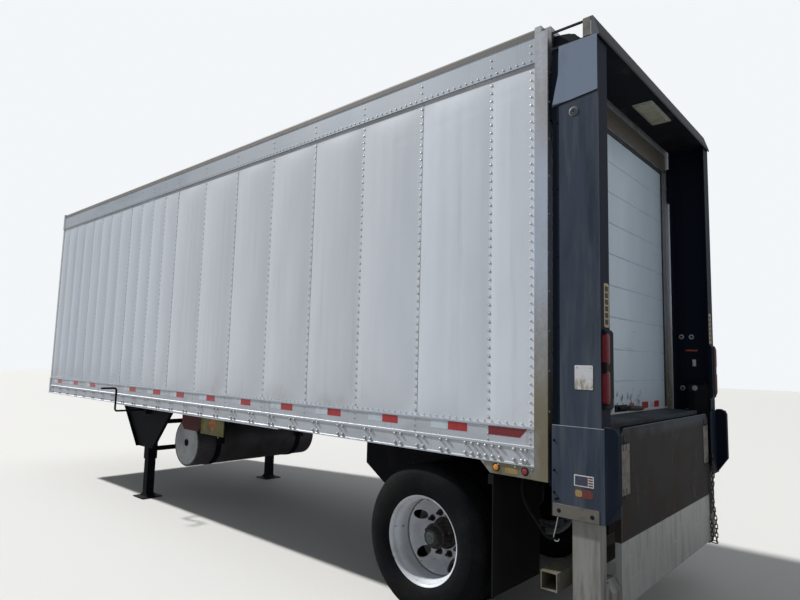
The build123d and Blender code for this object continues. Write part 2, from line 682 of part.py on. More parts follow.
# Tail lift columns: folded channels open towards the middle, each with a flared top plate
column_front, column_strip, column_rear = 26, 76, 322
column_width = 138
column_wall = 8
column_inset = 4
strip_inset = 14
column_drop = 187
column_bottom = rail_bottom - 245
mount_inset, mount_height, mount_margin = 20, 300, 150
flap_plate_height = 380
ring_lag, ring_drop = 170, 445
ring_radius = 22
housing_width, housing_depth, housing_slope = 106, 20, 14
housing_low, housing_high = 1535, 1946
housing_inset = 34
column_top = roof_height - column_drop
x_col_front = x_rear - column_front
x_col_rear = x_rear - column_rear
for name, side in sides:
    with BuildPart() as column:
        channel = (
            (x_col_front, out_y(side, strip_inset)), (x_rear - column_strip, out_y(side, strip_inset)),
            (x_rear - column_strip, out_y(side, column_inset)), (x_col_rear, out_y(side, column_inset)),
            (x_col_rear, out_y(side, column_width)), (x_col_rear + column_wall, out_y(side, column_width)),
            (x_col_rear + column_wall, out_y(side, column_inset + column_wall)),
            (x_rear - column_strip - column_wall, out_y(side, column_inset + column_wall)),
            (x_rear - column_strip - column_wall, out_y(side, strip_inset + column_wall)),
            (x_col_front - column_wall, out_y(side, strip_inset + column_wall)),
            (x_col_front - column_wall, out_y(side, column_width)), (x_col_front, out_y(side, column_width)))
        extrude(section(Plane.XY.offset(column_bottom), channel), amount=column_top - column_bottom)
        bar((x_col_front, x_col_rear), (out_y(side, column_inset), out_y(side, column_width)), (column_top - 6, column_top))
        for z_mount in (column_bottom + mount_margin, column_top - mount_margin - mount_height):
            bar((x_col_front, x_rear), (out_y(side, mount_inset), out_y(side, column_width - mount_inset)),
                (z_mount, z_mount + mount_height))
        flare = ((x_rear - column_strip, column_top), (x_col_rear + 2, column_top),
                 (x_col_rear + 2, column_top - flap_plate_height + 34), (x_col_front - 4, column_top - flap_plate_height),
                 (x_col_front - 22, column_top - flap_plate_height + 90), (x_rear - column_strip + 4, column_top - 180))
        plate_y(flare, min(out_y(side, 0), out_y(side, column_inset)), column_inset)
        ring_plane = Plane((x_rear - ring_lag, out_y(side, column_inset), column_top - ring_drop),
                           x_dir=(1, 0, 0), z_dir=(0, side, 0))
        with BuildSketch(ring_plane):
            RegularPolygon(ring_radius, 12)
            RegularPolygon(ring_radius * 0.4, 12, mode=Mode.SUBTRACT)
        extrude(amount=column_inset)
        # the tail lamps' housing on the rear face
        y_housing = min(out_y(side, housing_inset), out_y(side, housing_inset + housing_width))
        plate_y(((x_col_rear, housing_low), (x_col_rear - housing_depth / 2, housing_low + 4),
                 (x_col_rear - housing_depth, housing_low + 4 + housing_slope),
                 (x_col_rear - housing_depth, housing_high - 4 - housing_slope),
                 (x_col_rear - housing_depth / 2, housing_high - 4), (x_col_rear, housing_high)),
                y_housing, housing_width)
    save(column, "lift_column_" + name)

# Header canopy on the columns: a soffit, a leaning fascia, end frames and a cross bar
soffit = 6
fascia_rise, fascia_lean, fascia_lip, fascia_return = 124, 40, 18, 20
canopy_overhang = 14
x_lip = x_col_rear - canopy_overhang
canopy_top = column_top + fascia_rise
frame_width, frame_lag = 45, 235
canopy_edge = out_y(-1, 2)
canopy_width = body_width - 4
with BuildPart() as lift_header:
    plate_y(((x_lip, column_top - fascia_lip), (x_lip, column_top), (x_lip + fascia_lean, canopy_top),
             (x_lip + fascia_lean + fascia_return, canopy_top),
             (x_lip + fascia_lean + fascia_return, canopy_top - soffit),
             (x_lip + fascia_lean + soffit, canopy_top - soffit), (x_lip + soffit, column_top + soffit),
             (x_lip + soffit, column_top - fascia_lip)), canopy_edge, canopy_width)
    bar((x_col_front, x_lip + soffit), (canopy_edge, canopy_edge + canopy_width), (column_top, column_top + soffit))
    bar((x_col_front - soffit, x_col_front), (canopy_edge, canopy_edge + canopy_width), (column_top, canopy_top - 20))
    for name, side in sides:
        y_out = out_y(side, 2)
        bar((x_rear - frame_lag, x_rear - frame_lag - frame_width), (y_out, y_out - side * soffit),
            (column_top + soffit, canopy_top))
        bar((x_col_front, x_lip + fascia_lean + soffit), (y_out - side * 2, y_out - side * 14), (canopy_top - 20, canopy_top - 8))
save(lift_header, "lift_header")

# Hoist in the canopy: a cross tube between two chain wheels over the columns
hoist_radius, hoist_lag = 18, 130
chain_wheel_radius, chain_wheel_width, chain_wheel_inset = 42, 30, 60
hoist_z = column_top + soffit + chain_wheel_radius
with BuildPart() as lift_hoist:
    with BuildSketch(across(out_y(1, chain_wheel_inset))):
        with Locations((x_rear - hoist_lag, hoist_z)):
            RegularPolygon(hoist_radius, 8)
    extrude(amount=body_width - 2 * chain_wheel_inset)
    for name, side in sides:
        y_near = out_y(side, chain_wheel_inset)
        y_far = out_y(side, chain_wheel_inset + chain_wheel_width)
        with BuildSketch(across(max(y_near, y_far))):
            with Locations((x_rear - hoist_lag, hoist_z)):
                RegularPolygon(chain_wheel_radius, 12, major_radius=False, rotation=15)
        extrude(amount=chain_wheel_width)
        bar((x_rear - hoist_lag - 20, x_rear - hoist_lag + 20), (y_far, y_far - side * chain_wheel_width),
            (column_top + soffit, hoist_z + hoist_radius + 4))
save(lift_hoist, "lift_hoist")

# Lower covers: folded sheet round the column feet with a guard fin at the back
cover_drop, cover_height = 5, 515
cover_width = 235
cover_skin = 4
cover_lag = 338
fin_width, fin_radius, fin_rise, fin_chamfer = 50, 40, 12, 112
x_fin = x_rear - lift_reach
x_cover = x_rear - cover_lag
cover_top = floor_top - cover_drop
cover_bottom = cover_top - cover_height
fin_top = cover_top + fin_rise
for name, side in sides:
    with BuildPart() as cover:
        plan = (
            (x_col_front, out_y(side, 0)), (x_cover, out_y(side, 0)), (x_cover, out_y(side, cover_width)),
            (x_cover + cover_skin, out_y(side, cover_width)), (x_cover + cover_skin, out_y(side, cover_skin)),
            (x_col_front, out_y(side, cover_skin)))
        extrude(section(Plane.XY.offset(cover_bottom), plan), amount=cover_height)
        bar((x_cover + cover_skin, x_col_rear), (out_y(side, cover_skin), out_y(side, column_width)),
            (cover_top - 60, cover_top - 40))
        with BuildSketch(Plane.XZ.offset(-max(out_y(side, 0), out_y(side, fin_width)))):
            with BuildLine():
                Line((x_cover, cover_bottom + 8), (x_cover, fin_top))
                Line((x_cover, fin_top), (x_fin + fin_radius, fin_top))
                Line((x_fin + fin_radius, fin_top), (x_fin + fin_radius * 0.3, fin_top - fin_radius * 0.3))
                Line((x_fin + fin_radius * 0.3, fin_top - fin_radius * 0.3), (x_fin, fin_top - fin_radius))
                Line((x_fin, fin_top - fin_radius), (x_fin, cover_bottom + 8 + fin_chamfer))
                Line((x_fin, cover_bottom + 8 + fin_chamfer), (x_cover, cover_bottom + 8))
            make_face()
        extrude(amount=fin_width)
    save(cover, "lift_cover_" + name)

# Bed extension: a shelf from the sill towards the platform
shelf_inset = 285
shelf_reach = 250
shelf_plate = 12
apron_depth, apron_drop = 60, 160
shelf_half = half_width - shelf_inset
with BuildPart() as bed_extension:
    plate_y(((x_rear, floor_top), (x_rear, floor_top - apron_drop), (x_rear - apron_depth, floor_top - apron_drop),
             (x_rear - apron_depth, floor_top - shelf_plate), (x_rear - shelf_reach + 20, floor_top - shelf_plate),
             (x_rear - shelf_reach + 20, floor_top - 30), (x_rear - shelf_reach, floor_top - 30),
             (x_rear - shelf_reach, floor_top)), y_mid - shelf_half, 2 * shelf_half)
save(bed_extension, "bed_extension")

# Lift runners: two guides in the columns, pivot ears at their feet and a cross tube
runner_front, runner_rear = 140, 300
runner_outer, runner_inner = 24, 110
runner_bottom, runner_top = 335, 1600
ear_rear, ear_height = 318, 200
ear_start = column_width + 12
pin_lag, pin_z, pin_radius, pin_length = 303, 385, 14, 70
leaf_inset = 276
side_play = 6
cross_rear, cross_height = 224, 53
pad_levels = (950, 1480)
pad_height = 100
leaf_half = half_width - leaf_inset
pin_x = x_rear - pin_lag

# Slack chain beside the platform: a long strand on a bracket and a short one on the ear, joined by one link
chain_side = "right"
chain_inset = 257
wire, link_eye, link_gap = 8, 34, 0.5
link_width, link_corner, eye_width = 27, 8, 11
joint_eye = 40.4
link_pitch = link_eye - link_gap
arm_lag, arm_depth, arm_height, arm_reach = 280, 26, 30, 352
arm_inner, arm_outer = 243, 267
lug_web, lug_eye = 10, 12
long_links, short_links = 19, 5
x_hook = x_rear - 333
x_strand = x_hook - joint_eye + wire + link_gap + running_gap
chain_foot = 371.3
hook_level = chain_foot + (short_links - 1) * link_pitch + link_eye / 2 - running_gap
strand_turns = (0, 0, 0, -2, -5, -7, -8, -7, -5, -3, 0, 3, 4, 4, 3, 2, 1, 0)


def walk_up(x, z, turns):
    """Centres and leans of links that climb from a first one, each a pitch from the last."""
    links = [(x, z, 0)]
    for turn in turns:
        x += link_pitch * math.sin(math.radians(-turn))
        z += link_pitch * math.cos(math.radians(turn))
        links.append((x, z, turn))
    return links


long_strand = walk_up(x_strand, chain_foot, strand_turns)
short_strand = walk_up(x_hook, chain_foot, (0,) * (short_links - 1))
chain_tops = (long_strand[-1], short_strand[-1])
hook_low = chain_tops[0][1] + link_eye / 2 - running_gap
lug_top = hook_low + lug_eye + lug_web
with BuildPart() as lift_runners:
    for name, side in sides:
        y_ear = out_y(side, leaf_inset - side_play)
        bar((x_rear - runner_front, x_rear - runner_rear), (out_y(side, runner_outer), out_y(side, runner_inner)),
            (runner_bottom, runner_top))
        bar((x_rear - runner_front, x_rear - runner_rear), (out_y(side, runner_inner), out_y(side, ear_start)),
            (runner_bottom, runner_bottom + ear_height))
        plate_y(((x_rear - runner_front, runner_bottom), (x_rear - ear_rear, runner_bottom),
                 (x_rear - ear_rear, runner_bottom + ear_height - 60), (x_rear - ear_rear + 40, runner_bottom + ear_height),
                 (x_rear - runner_front, runner_bottom + ear_height)),
                min(out_y(side, ear_start), y_ear), abs(y_ear - out_y(side, ear_start)))
        tube_y(pin_x, pin_z, pin_radius, (y_ear, y_ear - side * pin_length))
        # bracket that reaches past the cover to the chain, with a drilled lug, and a second lug on the ear
        if name == chain_side:
            bar((x_rear - arm_lag, x_rear - arm_lag - arm_depth), (out_y(side, runner_inner), out_y(side, arm_outer)),
                (lug_top, lug_top + arm_height))
            bar((x_rear - arm_lag, x_rear - arm_reach), (out_y(side, arm_inner), out_y(side, arm_outer)),
                (lug_top, lug_top + arm_height))
            y_lug = min(out_y(side, chain_inset - wire / 2), out_y(side, chain_inset + wire / 2))
            x_hole = chain_tops[0][0]
            plate_y(((x_hole - 11, hook_low - lug_web), (x_hole + 11, hook_low - lug_web), (x_hole + 11, lug_top),
                     (x_hole - 11, lug_top)), y_lug, wire)
            plate_y(((x_rear - runner_rear, hook_level - 52), (x_rear - runner_rear, hook_level + 23),
                     (x_hook - 12, hook_level + 23), (x_hook - 12, hook_level - lug_web), (x_hook + 11, hook_level - lug_web),
                     (x_hook + 16, hook_level - 16), (x_hook + 16, hook_level - 52)), y_lug, wire)
            for x_eye, z_eye in ((x_hole, hook_low), (x_hook, hook_level)):
                bar((x_eye - lug_eye / 2, x_eye + lug_eye / 2), (y_lug, y_lug + wire), (z_eye, z_eye + lug_eye),
                    mode=Mode.SUBTRACT)
        for z_pad in pad_levels:
            bar((x_rear - runner_front - 10, x_rear - runner_rear + 10),
                (out_y(side, column_inset + column_wall + running_gap), out_y(side, runner_outer)),
                (z_pad, z_pad + pad_height))
            bar((x_rear - runner_rear, x_col_rear + column_wall + running_gap),
                (out_y(side, runner_outer + 15), out_y(side, runner_inner - 10)), (z_pad, z_pad + pad_height))
    bar((x_rear - runner_front, x_rear - cross_rear), (out_y(1, ear_start), out_y(-1, ear_start)),
        (runner_bottom, runner_bottom + cross_height))
save(lift_runners, "lift_runners")


def chain_link(eye):
    """One link about the origin, with its length along Z and its flat across Y."""
    half, short = link_width / 2, link_width / 2 - link_corner
    tall = eye / 2 + wire
    outline = ((half, link_corner - tall), (half, tall - link_corner), (short, tall), (-short, tall),
               (-half, tall - link_corner), (-half, link_corner - tall), (-short, -tall), (short, -tall))
    with BuildPart() as link:
        plate_y(outline, -wire / 2, wire)
        bar((-eye_width / 2, eye_width / 2), (-wire / 2, wire / 2), (-eye / 2, eye / 2), mode=Mode.SUBTRACT)
    return link.part


plain_link = chain_link(link_eye)
y_chain = out_y(-1, chain_inset)
with BuildPart() as platform_chain:
    for strand in (long_strand, short_strand):
        for number, (x_link, z_link, lean) in enumerate(strand):
            roll = 90 * (1 - number % 2)
            with Locations(Location((x_link, y_chain, z_link), (0, -lean, roll))):
                add(plain_link)
    z_joint = chain_foot - link_eye / 2 - eye_width / 2 + running_gap
    with Locations(Location(((x_hook + x_strand) / 2, y_chain, z_joint), (0, 90, 0))):
        add(chain_link(joint_eye))
save(platform_chain, "platform_chain")

# Platform: a steel deck leaf over an aluminium heel, hinged at the runners' feet and stowed upright
leaf_bottom, leaf_split, leaf_top = 358, 722, 1372
leaf_front, leaf_rear = 284, 322
leaf_chamfer = 45
strip_start, strip_width, strip_raise = 45, 60, 3
strip_low, strip_high = 960, 1330
rib_width, rib_count = 40, 7
slot_pitch, slot_width, slot_height = 26, 12, 34
x_leaf = x_rear - leaf_rear
leaf_thickness = leaf_rear - leaf_front
rib_depth = leaf_thickness - 8
with BuildPart() as platform:
    leaf_outline = ((y_mid - leaf_half, leaf_split), (y_mid + leaf_half, leaf_split),
                    (y_mid + leaf_half, leaf_top - leaf_chamfer), (y_mid + leaf_half - leaf_chamfer, leaf_top),
                    (y_mid - leaf_half + leaf_chamfer, leaf_top), (y_mid - leaf_half, leaf_top - leaf_chamfer))
    plate_x(leaf_outline, x_leaf, leaf_thickness - rib_depth)
    rib_pitch = (2 * leaf_half - rib_width) / (rib_count - 1)
    for number in range(rib_count):
        y_rib = y_mid - leaf_half + number * rib_pitch
        bar((x_leaf + leaf_thickness - rib_depth, x_leaf + leaf_thickness), (y_rib, y_rib + rib_width),
            (leaf_split, leaf_top - leaf_chamfer))
    bar((x_leaf + leaf_thickness - rib_depth, x_leaf + leaf_thickness), (y_mid - leaf_half, y_mid + leaf_half),
        (leaf_split, leaf_split + rib_width))
    for name, side in sides:
        y_strip = y_mid + side * (leaf_half - strip_start)
        bar((x_leaf - strip_raise, x_leaf), (y_strip, y_strip - side * strip_width), (strip_low, strip_high))
        for z_slot in (strip_low + 30, strip_high - 70):
            for shift in (-slot_pitch / 2, slot_pitch / 2):
                y_slot = y_strip - side * strip_width / 2 + shift
                bar((x_leaf - strip_raise, x_leaf + 8), (y_slot - slot_width / 2, y_slot + slot_width / 2),
                    (z_slot, z_slot + slot_height), mode=Mode.SUBTRACT)
save(platform, "platform")

with BuildPart() as platform_heel:
    bar((x_leaf, x_leaf + leaf_thickness), (y_mid - leaf_half, y_mid + leaf_half), (leaf_bottom, leaf_split))
    for name, side in sides:
        y_end = y_mid + side * leaf_half
        tube_y(pin_x, pin_z, pin_radius + running_gap, (y_end, y_end - side * (pin_length - side_play + 2)),
               mode=Mode.SUBTRACT)
save(platform_heel, "platform_heel")

# Lamps: two tail lamps on each column, and an amber and a red marker on each bracket
lamp_centre, lamp_width, lamp_corner, lamp_depth = 87, 60, 20, 7
lamp_levels = ((1568, 1722), (1764, 1918))
bracket_length, bracket_slant, bracket_plate = 390, 80, 4
bracket_inset = 8
marker_size = (70, 28, 7)
with BuildPart() as tail_lamps:
    for name, side in sides:
        for low, high in lamp_levels:
            half, short = lamp_width / 2, lamp_width / 2 - lamp_corner
            plate_x(side_points(side, (
                (lamp_centre - half, low + lamp_corner), (lamp_centre - half, high - lamp_corner),
                (lamp_centre - short, high), (lamp_centre + short, high), (lamp_centre + half, high - lamp_corner),
                (lamp_centre + half, low + lamp_corner), (lamp_centre + short, low), (lamp_centre - short, low))),
                x_col_rear - housing_depth - lamp_depth, lamp_depth)
save(tail_lamps, "tail_lamps")

with BuildPart() as marker_brackets:
    for name, side in sides:
        x_start = x_rear + post_depth
        plate_y(((x_start, rail_bottom), (x_start + bracket_length, rail_bottom),
                 (x_start + bracket_length - bracket_slant, post_bottom), (x_start, post_bottom)),
                min(out_y(side, bracket_inset), out_y(side, bracket_inset + bracket_plate)), bracket_plate)
save(marker_brackets, "marker_brackets")

with BuildPart() as marker_lamps:
    lamp_z = rail_bottom - post_drop / 2
    length, height, depth = marker_size
    for name, side in sides:
        for lead in (60, bracket_length - bracket_slant - 70):
            x_lamp = x_rear + post_depth + lead
            bar((x_lamp, x_lamp + length), (out_y(side, bracket_inset), out_y(side, bracket_inset - depth)),
                (lamp_z - height / 2, lamp_z + height / 2))
save(marker_lamps, "marker_lamps")

# Dome lamp under the canopy
dome_centre = y_mid - 116
dome_length, dome_width, dome_depth = 460, 146, 14
dome_lag = 127
with BuildPart() as dome_lamp:
    bar((x_rear - dome_lag, x_rear - dome_lag - dome_width), (dome_centre - dome_length / 2, dome_centre + dome_length / 2),
        (column_top - dome_depth, column_top))
    chamfer(dome_lamp.faces().sort_by(Axis.Z)[0].edges(), dome_depth - 4)
save(dome_lamp, "dome_lamp")

# Box and blank placard holders that hang from the crossmembers beside the fuel tank
box_start, box_end, box_depth, box_bottom, box_corner = 4310, 4720, 100, 905, 55
box_inset = 255
holder_start, holder_end, holder_bottom, holder_thickness, holder_rim = 3845, 4295, 895, 5, 14
with BuildPart() as rail_box:
    plate_y(((x_rear + box_start, cross_bottom), (x_rear + box_start, box_bottom + box_corner),
             (x_rear + box_start + box_corner, box_bottom), (x_rear + box_end - box_corner, box_bottom),
             (x_rear + box_end, box_bottom + box_corner), (x_rear + box_end, cross_bottom)),
            out_y(1, box_inset + box_depth), box_depth)
save(rail_box, "rail_box")

with BuildPart() as placard_holders:
    for name, side in sides:
        face = out_y(side, box_inset)
        back = out_y(side, box_inset + holder_thickness)
        bar((x_rear + holder_start, x_rear + holder_end), (face, back), (holder_bottom, cross_bottom))
        for low, high in ((holder_start, holder_start + holder_rim), (holder_end - holder_rim, holder_end)):
            bar((x_rear + low, x_rear + high), (face, face + side * holder_thickness), (holder_bottom, cross_bottom))
        bar((x_rear + holder_start, x_rear + holder_end), (face, face + side * holder_thickness),
            (holder_bottom, holder_bottom + holder_rim))
save(placard_holders, "placard_holders")

# Service couplings on the nose: two air couplings and an electric socket on one plate
coupling_z = 1500
coupling_plate, coupling_length, coupling_height = 5, 520, 130
socket_radius, socket_depth, socket_sides = 38, 55, 12
hand_offset, hand_body, hand_reach, hand_radius, hand_depth = 180, 44, 62, 34, 24
with BuildPart() as service_couplings:
    x_nose = x_front - panel_inset
    bar((x_nose, x_nose + coupling_plate), (y_mid - coupling_length / 2, y_mid + coupling_length / 2),
        (coupling_z - coupling_height / 2, coupling_z + coupling_height / 2))
    with BuildSketch(Plane.YZ.offset(x_nose)):
        with Locations((y_mid, coupling_z)):
            RegularPolygon(socket_radius, socket_sides, major_radius=False)
    extrude(amount=socket_depth)
    bar((x_nose + socket_depth, x_nose + socket_depth + 8), (y_mid - socket_radius, y_mid + socket_radius),
        (coupling_z - socket_radius, coupling_z + socket_radius + 14))
    for offset in (hand_offset, -hand_offset):
        bar((x_nose, x_nose + hand_reach), (y_mid + offset - hand_body / 2, y_mid + offset + hand_body / 2),
            (coupling_z - hand_body / 2, coupling_z + hand_body / 2))
        with BuildSketch(across(y_mid + offset + hand_depth / 2)):
            with Locations((x_nose + hand_reach, coupling_z - hand_radius / 2)):
                RegularPolygon(hand_radius, socket_sides, major_radius=False)
        extrude(amount=hand_depth)
save(service_couplings, "service_couplings")
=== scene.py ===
import math

import bmesh
import bpy
import numpy as np
from mathutils import Matrix, Vector


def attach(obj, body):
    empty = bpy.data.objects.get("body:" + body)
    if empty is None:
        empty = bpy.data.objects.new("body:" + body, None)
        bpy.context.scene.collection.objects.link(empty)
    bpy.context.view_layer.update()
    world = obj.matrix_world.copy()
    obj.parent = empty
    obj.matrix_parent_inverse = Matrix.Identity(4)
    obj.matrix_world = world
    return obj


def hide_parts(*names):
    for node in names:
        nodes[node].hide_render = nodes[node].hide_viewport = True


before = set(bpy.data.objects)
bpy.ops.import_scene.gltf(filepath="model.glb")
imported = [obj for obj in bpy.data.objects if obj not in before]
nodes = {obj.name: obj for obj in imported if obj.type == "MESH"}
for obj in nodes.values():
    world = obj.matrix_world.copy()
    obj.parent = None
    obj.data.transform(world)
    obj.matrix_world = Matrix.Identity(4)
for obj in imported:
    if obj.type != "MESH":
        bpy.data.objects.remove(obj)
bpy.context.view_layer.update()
print("frame loaded:", len(nodes), "nodes")

# Metres. +X points to the kingpin, +Y to the left, +Z up
trailer = {
    "rearX": -4.212, "middleY": -0.1665, "halfWidth": 1.219,
    "columnRear": -4.534, "coverTop": 1.387,
}
rearX, middleY, halfWidth = (trailer[key] for key in ("rearX", "middleY", "halfWidth"))
bothSides = (("left", 1), ("right", -1))


def sideY(side, inset):
    # Y of a plane that lies inset from the trailer's own side
    return middleY + side * (halfWidth - inset)


# A shape is a pair: an (n, 3) array of points and a list of (m, corners) arrays of faces
def gridShape(points, wrapRows=False, wrapColumns=False):
    # quads between neighbouring rows and columns of an (rows, columns, 3) array
    rows, columns = points.shape[:2]
    a, b = np.meshgrid(np.arange(rows - (not wrapRows)), np.arange(columns - (not wrapColumns)), indexing="ij")
    c, d = (a + 1) % rows, (b + 1) % columns
    quads = np.stack([a * columns + b, c * columns + b, c * columns + d, a * columns + d], -1).reshape(-1, 4)
    return points.reshape(-1, 3), [quads]


def joined(shapes):
    points, faces, start = [], [], 0
    for shapePoints, shapeFaces in shapes:
        points.append(shapePoints)
        faces += [block + start for block in shapeFaces]
        start += len(shapePoints)
    return np.concatenate(points), faces


def scattered(shape, places):
    # one copy of the shape at each row of places
    places = np.asarray(places, float).reshape(-1, 3)
    points = (shape[0][None] + places[:, None]).reshape(-1, 3)
    starts = np.arange(len(places)) * len(shape[0])
    return points, [(block[None] + starts[:, None, None]).reshape(-1, block.shape[1]) for block in shape[1]]


def along(x, y, z):
    # a row of (x, y, z) for each place, with single values repeated
    return np.stack([part.ravel() for part in np.broadcast_arrays(x, y, z)], -1)


def turned(shape, axis):
    # turns a shape made round +Z so that it points along axis, one of +-X, +-Y, +-Z
    z = np.asarray(axis, float)
    x = np.roll(np.abs(z), 1)
    frameAxes = np.stack([x, np.cross(z, x), z])
    return shape[0] @ frameAxes, shape[1]


def lathe(profile, count, closeStart=False, closeEnd=False, loop=False):
    # a (radius, height) profile turned round Z in count steps; one that climbs faces outwards
    profile = np.asarray(profile, float)
    angle = np.linspace(0, 2 * np.pi, count, endpoint=False)
    points = np.stack([profile[:, :1] * np.cos(angle), profile[:, :1] * np.sin(angle),
                       np.repeat(profile[:, 1:], count, 1)], -1)
    shape = gridShape(points, wrapRows=loop, wrapColumns=True)
    caps = []
    if closeStart:
        caps.append(np.arange(count)[None, ::-1])
    if closeEnd:
        caps.append((np.arange(count) + (len(profile) - 1) * count)[None])
    return shape[0], [shape[1][0][:, ::-1]] + caps


def outlineBox(width, height, radius, steps=4):
    # a rectangle about the origin whose corners are quarter circles
    quarter = np.arange(4).repeat(steps + 1)
    angle = quarter * np.pi / 2 + np.tile(np.linspace(0, np.pi / 2, steps + 1), 4)
    centre = np.array([(1, 1), (-1, 1), (-1, -1), (1, -1)])[quarter] * (np.array([width, height]) / 2 - radius)
    return centre + radius * np.stack([np.cos(angle), np.sin(angle)], -1)


def domed(outline, centre, levels, axis):
    # rings of one outline, each drawn in by a level's first value and set at its second along the axis
    half = np.abs(outline).max(0)
    rings = [np.insert(outline * (1 - inset / half) + centre, axis, height, axis=1) for inset, height in levels]
    points, faces = gridShape(np.stack(rings), wrapColumns=True)
    ring = np.arange(len(outline))[None]
    return points, faces + [ring[:, ::-1], ring + (len(rings) - 1) * len(outline)]


def block(low, high):
    low, high = np.minimum(low, high), np.maximum(low, high)
    corners = np.array([[x, y, z] for x in (0, 1) for y in (0, 1) for z in (0, 1)], float)
    faces = np.array([[0, 1, 3, 2], [4, 6, 7, 5], [0, 4, 5, 1], [2, 3, 7, 6], [0, 2, 6, 4], [1, 5, 7, 3]])
    return low + corners * (np.array(high) - low), [faces]


def tube(path, radius, sides=12, ends=True):
    # a round section carried along a path, turned by the path's own direction
    path = np.asarray(path, float)
    heading = np.gradient(path, axis=0)
    heading /= np.linalg.norm(heading, axis=1, keepdims=True)
    guide = np.eye(3)[np.argmin(np.abs(heading).max(0))]
    across = np.cross(heading, guide)
    across /= np.linalg.norm(across, axis=1, keepdims=True)
    upward = np.cross(across, heading)
    angle = np.linspace(0, 2 * np.pi, sides, endpoint=False)[None, :, None]
    radii = np.broadcast_to(np.asarray(radius, float), (len(path),))[:, None, None]
    points = path[:, None] + radii * (np.cos(angle) * across[:, None] + np.sin(angle) * upward[:, None])
    shape = gridShape(points, wrapColumns=True)
    if ends:
        last = (len(path) - 1) * sides
        return shape[0], shape[1] + [np.arange(sides)[None, ::-1], np.arange(sides)[None] + last]
    return shape


def plateShape(outline, low, high, axis):
    # a flat outline given thickness along one axis (0, 1 or 2)
    outline = np.asarray(outline, float)
    count = len(outline)
    levels = np.repeat([low, high], count)[:, None]
    flat = np.tile(outline, (2, 1))
    points = np.insert(flat, [axis], levels, axis=1)
    ring = np.arange(count)
    sides = np.stack([ring, np.roll(ring, -1), np.roll(ring, -1) + count, ring + count], -1)
    return points, [sides, ring[None, ::-1], ring[None] + count]


def piece(name, shape, material, body="trailer", facing="closed", bevel=0, slot=None, replaces=(), solid=0,
          sharp=35, weld=0):
    # puts a shape into the scene; facing is closed, asBuilt or the direction that an open sheet faces
    points, faces = shape
    mesh = bpy.data.meshes.new(name)
    mesh.from_pydata(points, [], [row for rows in faces for row in rows.tolist()])
    closed = facing == "closed"
    if weld or closed:
        work = bmesh.new()
        work.from_mesh(mesh)
        if weld:
            bmesh.ops.remove_doubles(work, verts=work.verts, dist=weld)
        if closed:
            bmesh.ops.recalc_face_normals(work, faces=work.faces)
        work.to_mesh(mesh)
        work.free()
    if not isinstance(facing, str):
        normals = np.empty(len(mesh.polygons) * 3)
        mesh.polygons.foreach_get("normal", normals)
        if normals.reshape(-1, 3).sum(0) @ np.asarray(facing, float) < 0:
            mesh.flip_normals()
    mesh.polygons.foreach_set("use_smooth", np.ones(len(mesh.polygons), bool))
    mesh.set_sharp_from_angle(angle=math.radians(sharp))
    mesh.materials.append(material)
    made = bpy.data.objects.new(name, mesh)
    bpy.context.collection.objects.link(made)
    if solid:
        wall = made.modifiers.new("wall", "SOLIDIFY")
        wall.thickness, wall.offset = solid, -1
    if bevel:
        edge = made.modifiers.new("edge", "BEVEL")
        edge.width, edge.segments, edge.limit_method, edge.angle_limit = bevel, 2, "ANGLE", math.radians(40)
    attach(made, body)
    if replaces:
        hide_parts(*replaces)
    return made


def rows(name, shape, axis, places, material, body="trailer", **more):
    # copies of a shape made round +Z, all turned to one axis
    return piece(name, scattered(turned(shape, axis), places), material, body, **more)


# Finishes
def wired(node, inputs):
    # each input is linked to a socket or given a value
    for key, value in inputs.items():
        if isinstance(value, bpy.types.NodeSocket):
            node.id_data.links.new(value, node.inputs[key])
        else:
            node.inputs[key].default_value = value
    return node


def added(tree, kind, inputs, **settings):
    made = tree.nodes.new("ShaderNode" + kind)
    for key, value in settings.items():
        setattr(made, key, value)
    return wired(made, inputs)


def mark(scale, color, amount=0.5, start=0.45, end=0.65, detail=4, rough=None, kind="noise", turn=0.0, around=(),
         **fades):
    # a layer of colour and roughness that shows where its noise passes from start to end. A pair named x, y or z
    # (or xAlso and so on) fades it in from the first value to the second, around keeps it near a lattice's points
    return {"scale": scale, "color": color, "amount": amount, "start": start, "end": end, "detail": detail,
            "rough": rough, "kind": kind, "turn": turn, "around": around, "fades": fades}


def grain(scale, detail, strength, depth):
    # a fine unevenness, in bump only
    return {"scale": scale, "detail": detail, "strength": strength, "depth": depth, "kind": "noise", "turn": 0.0}


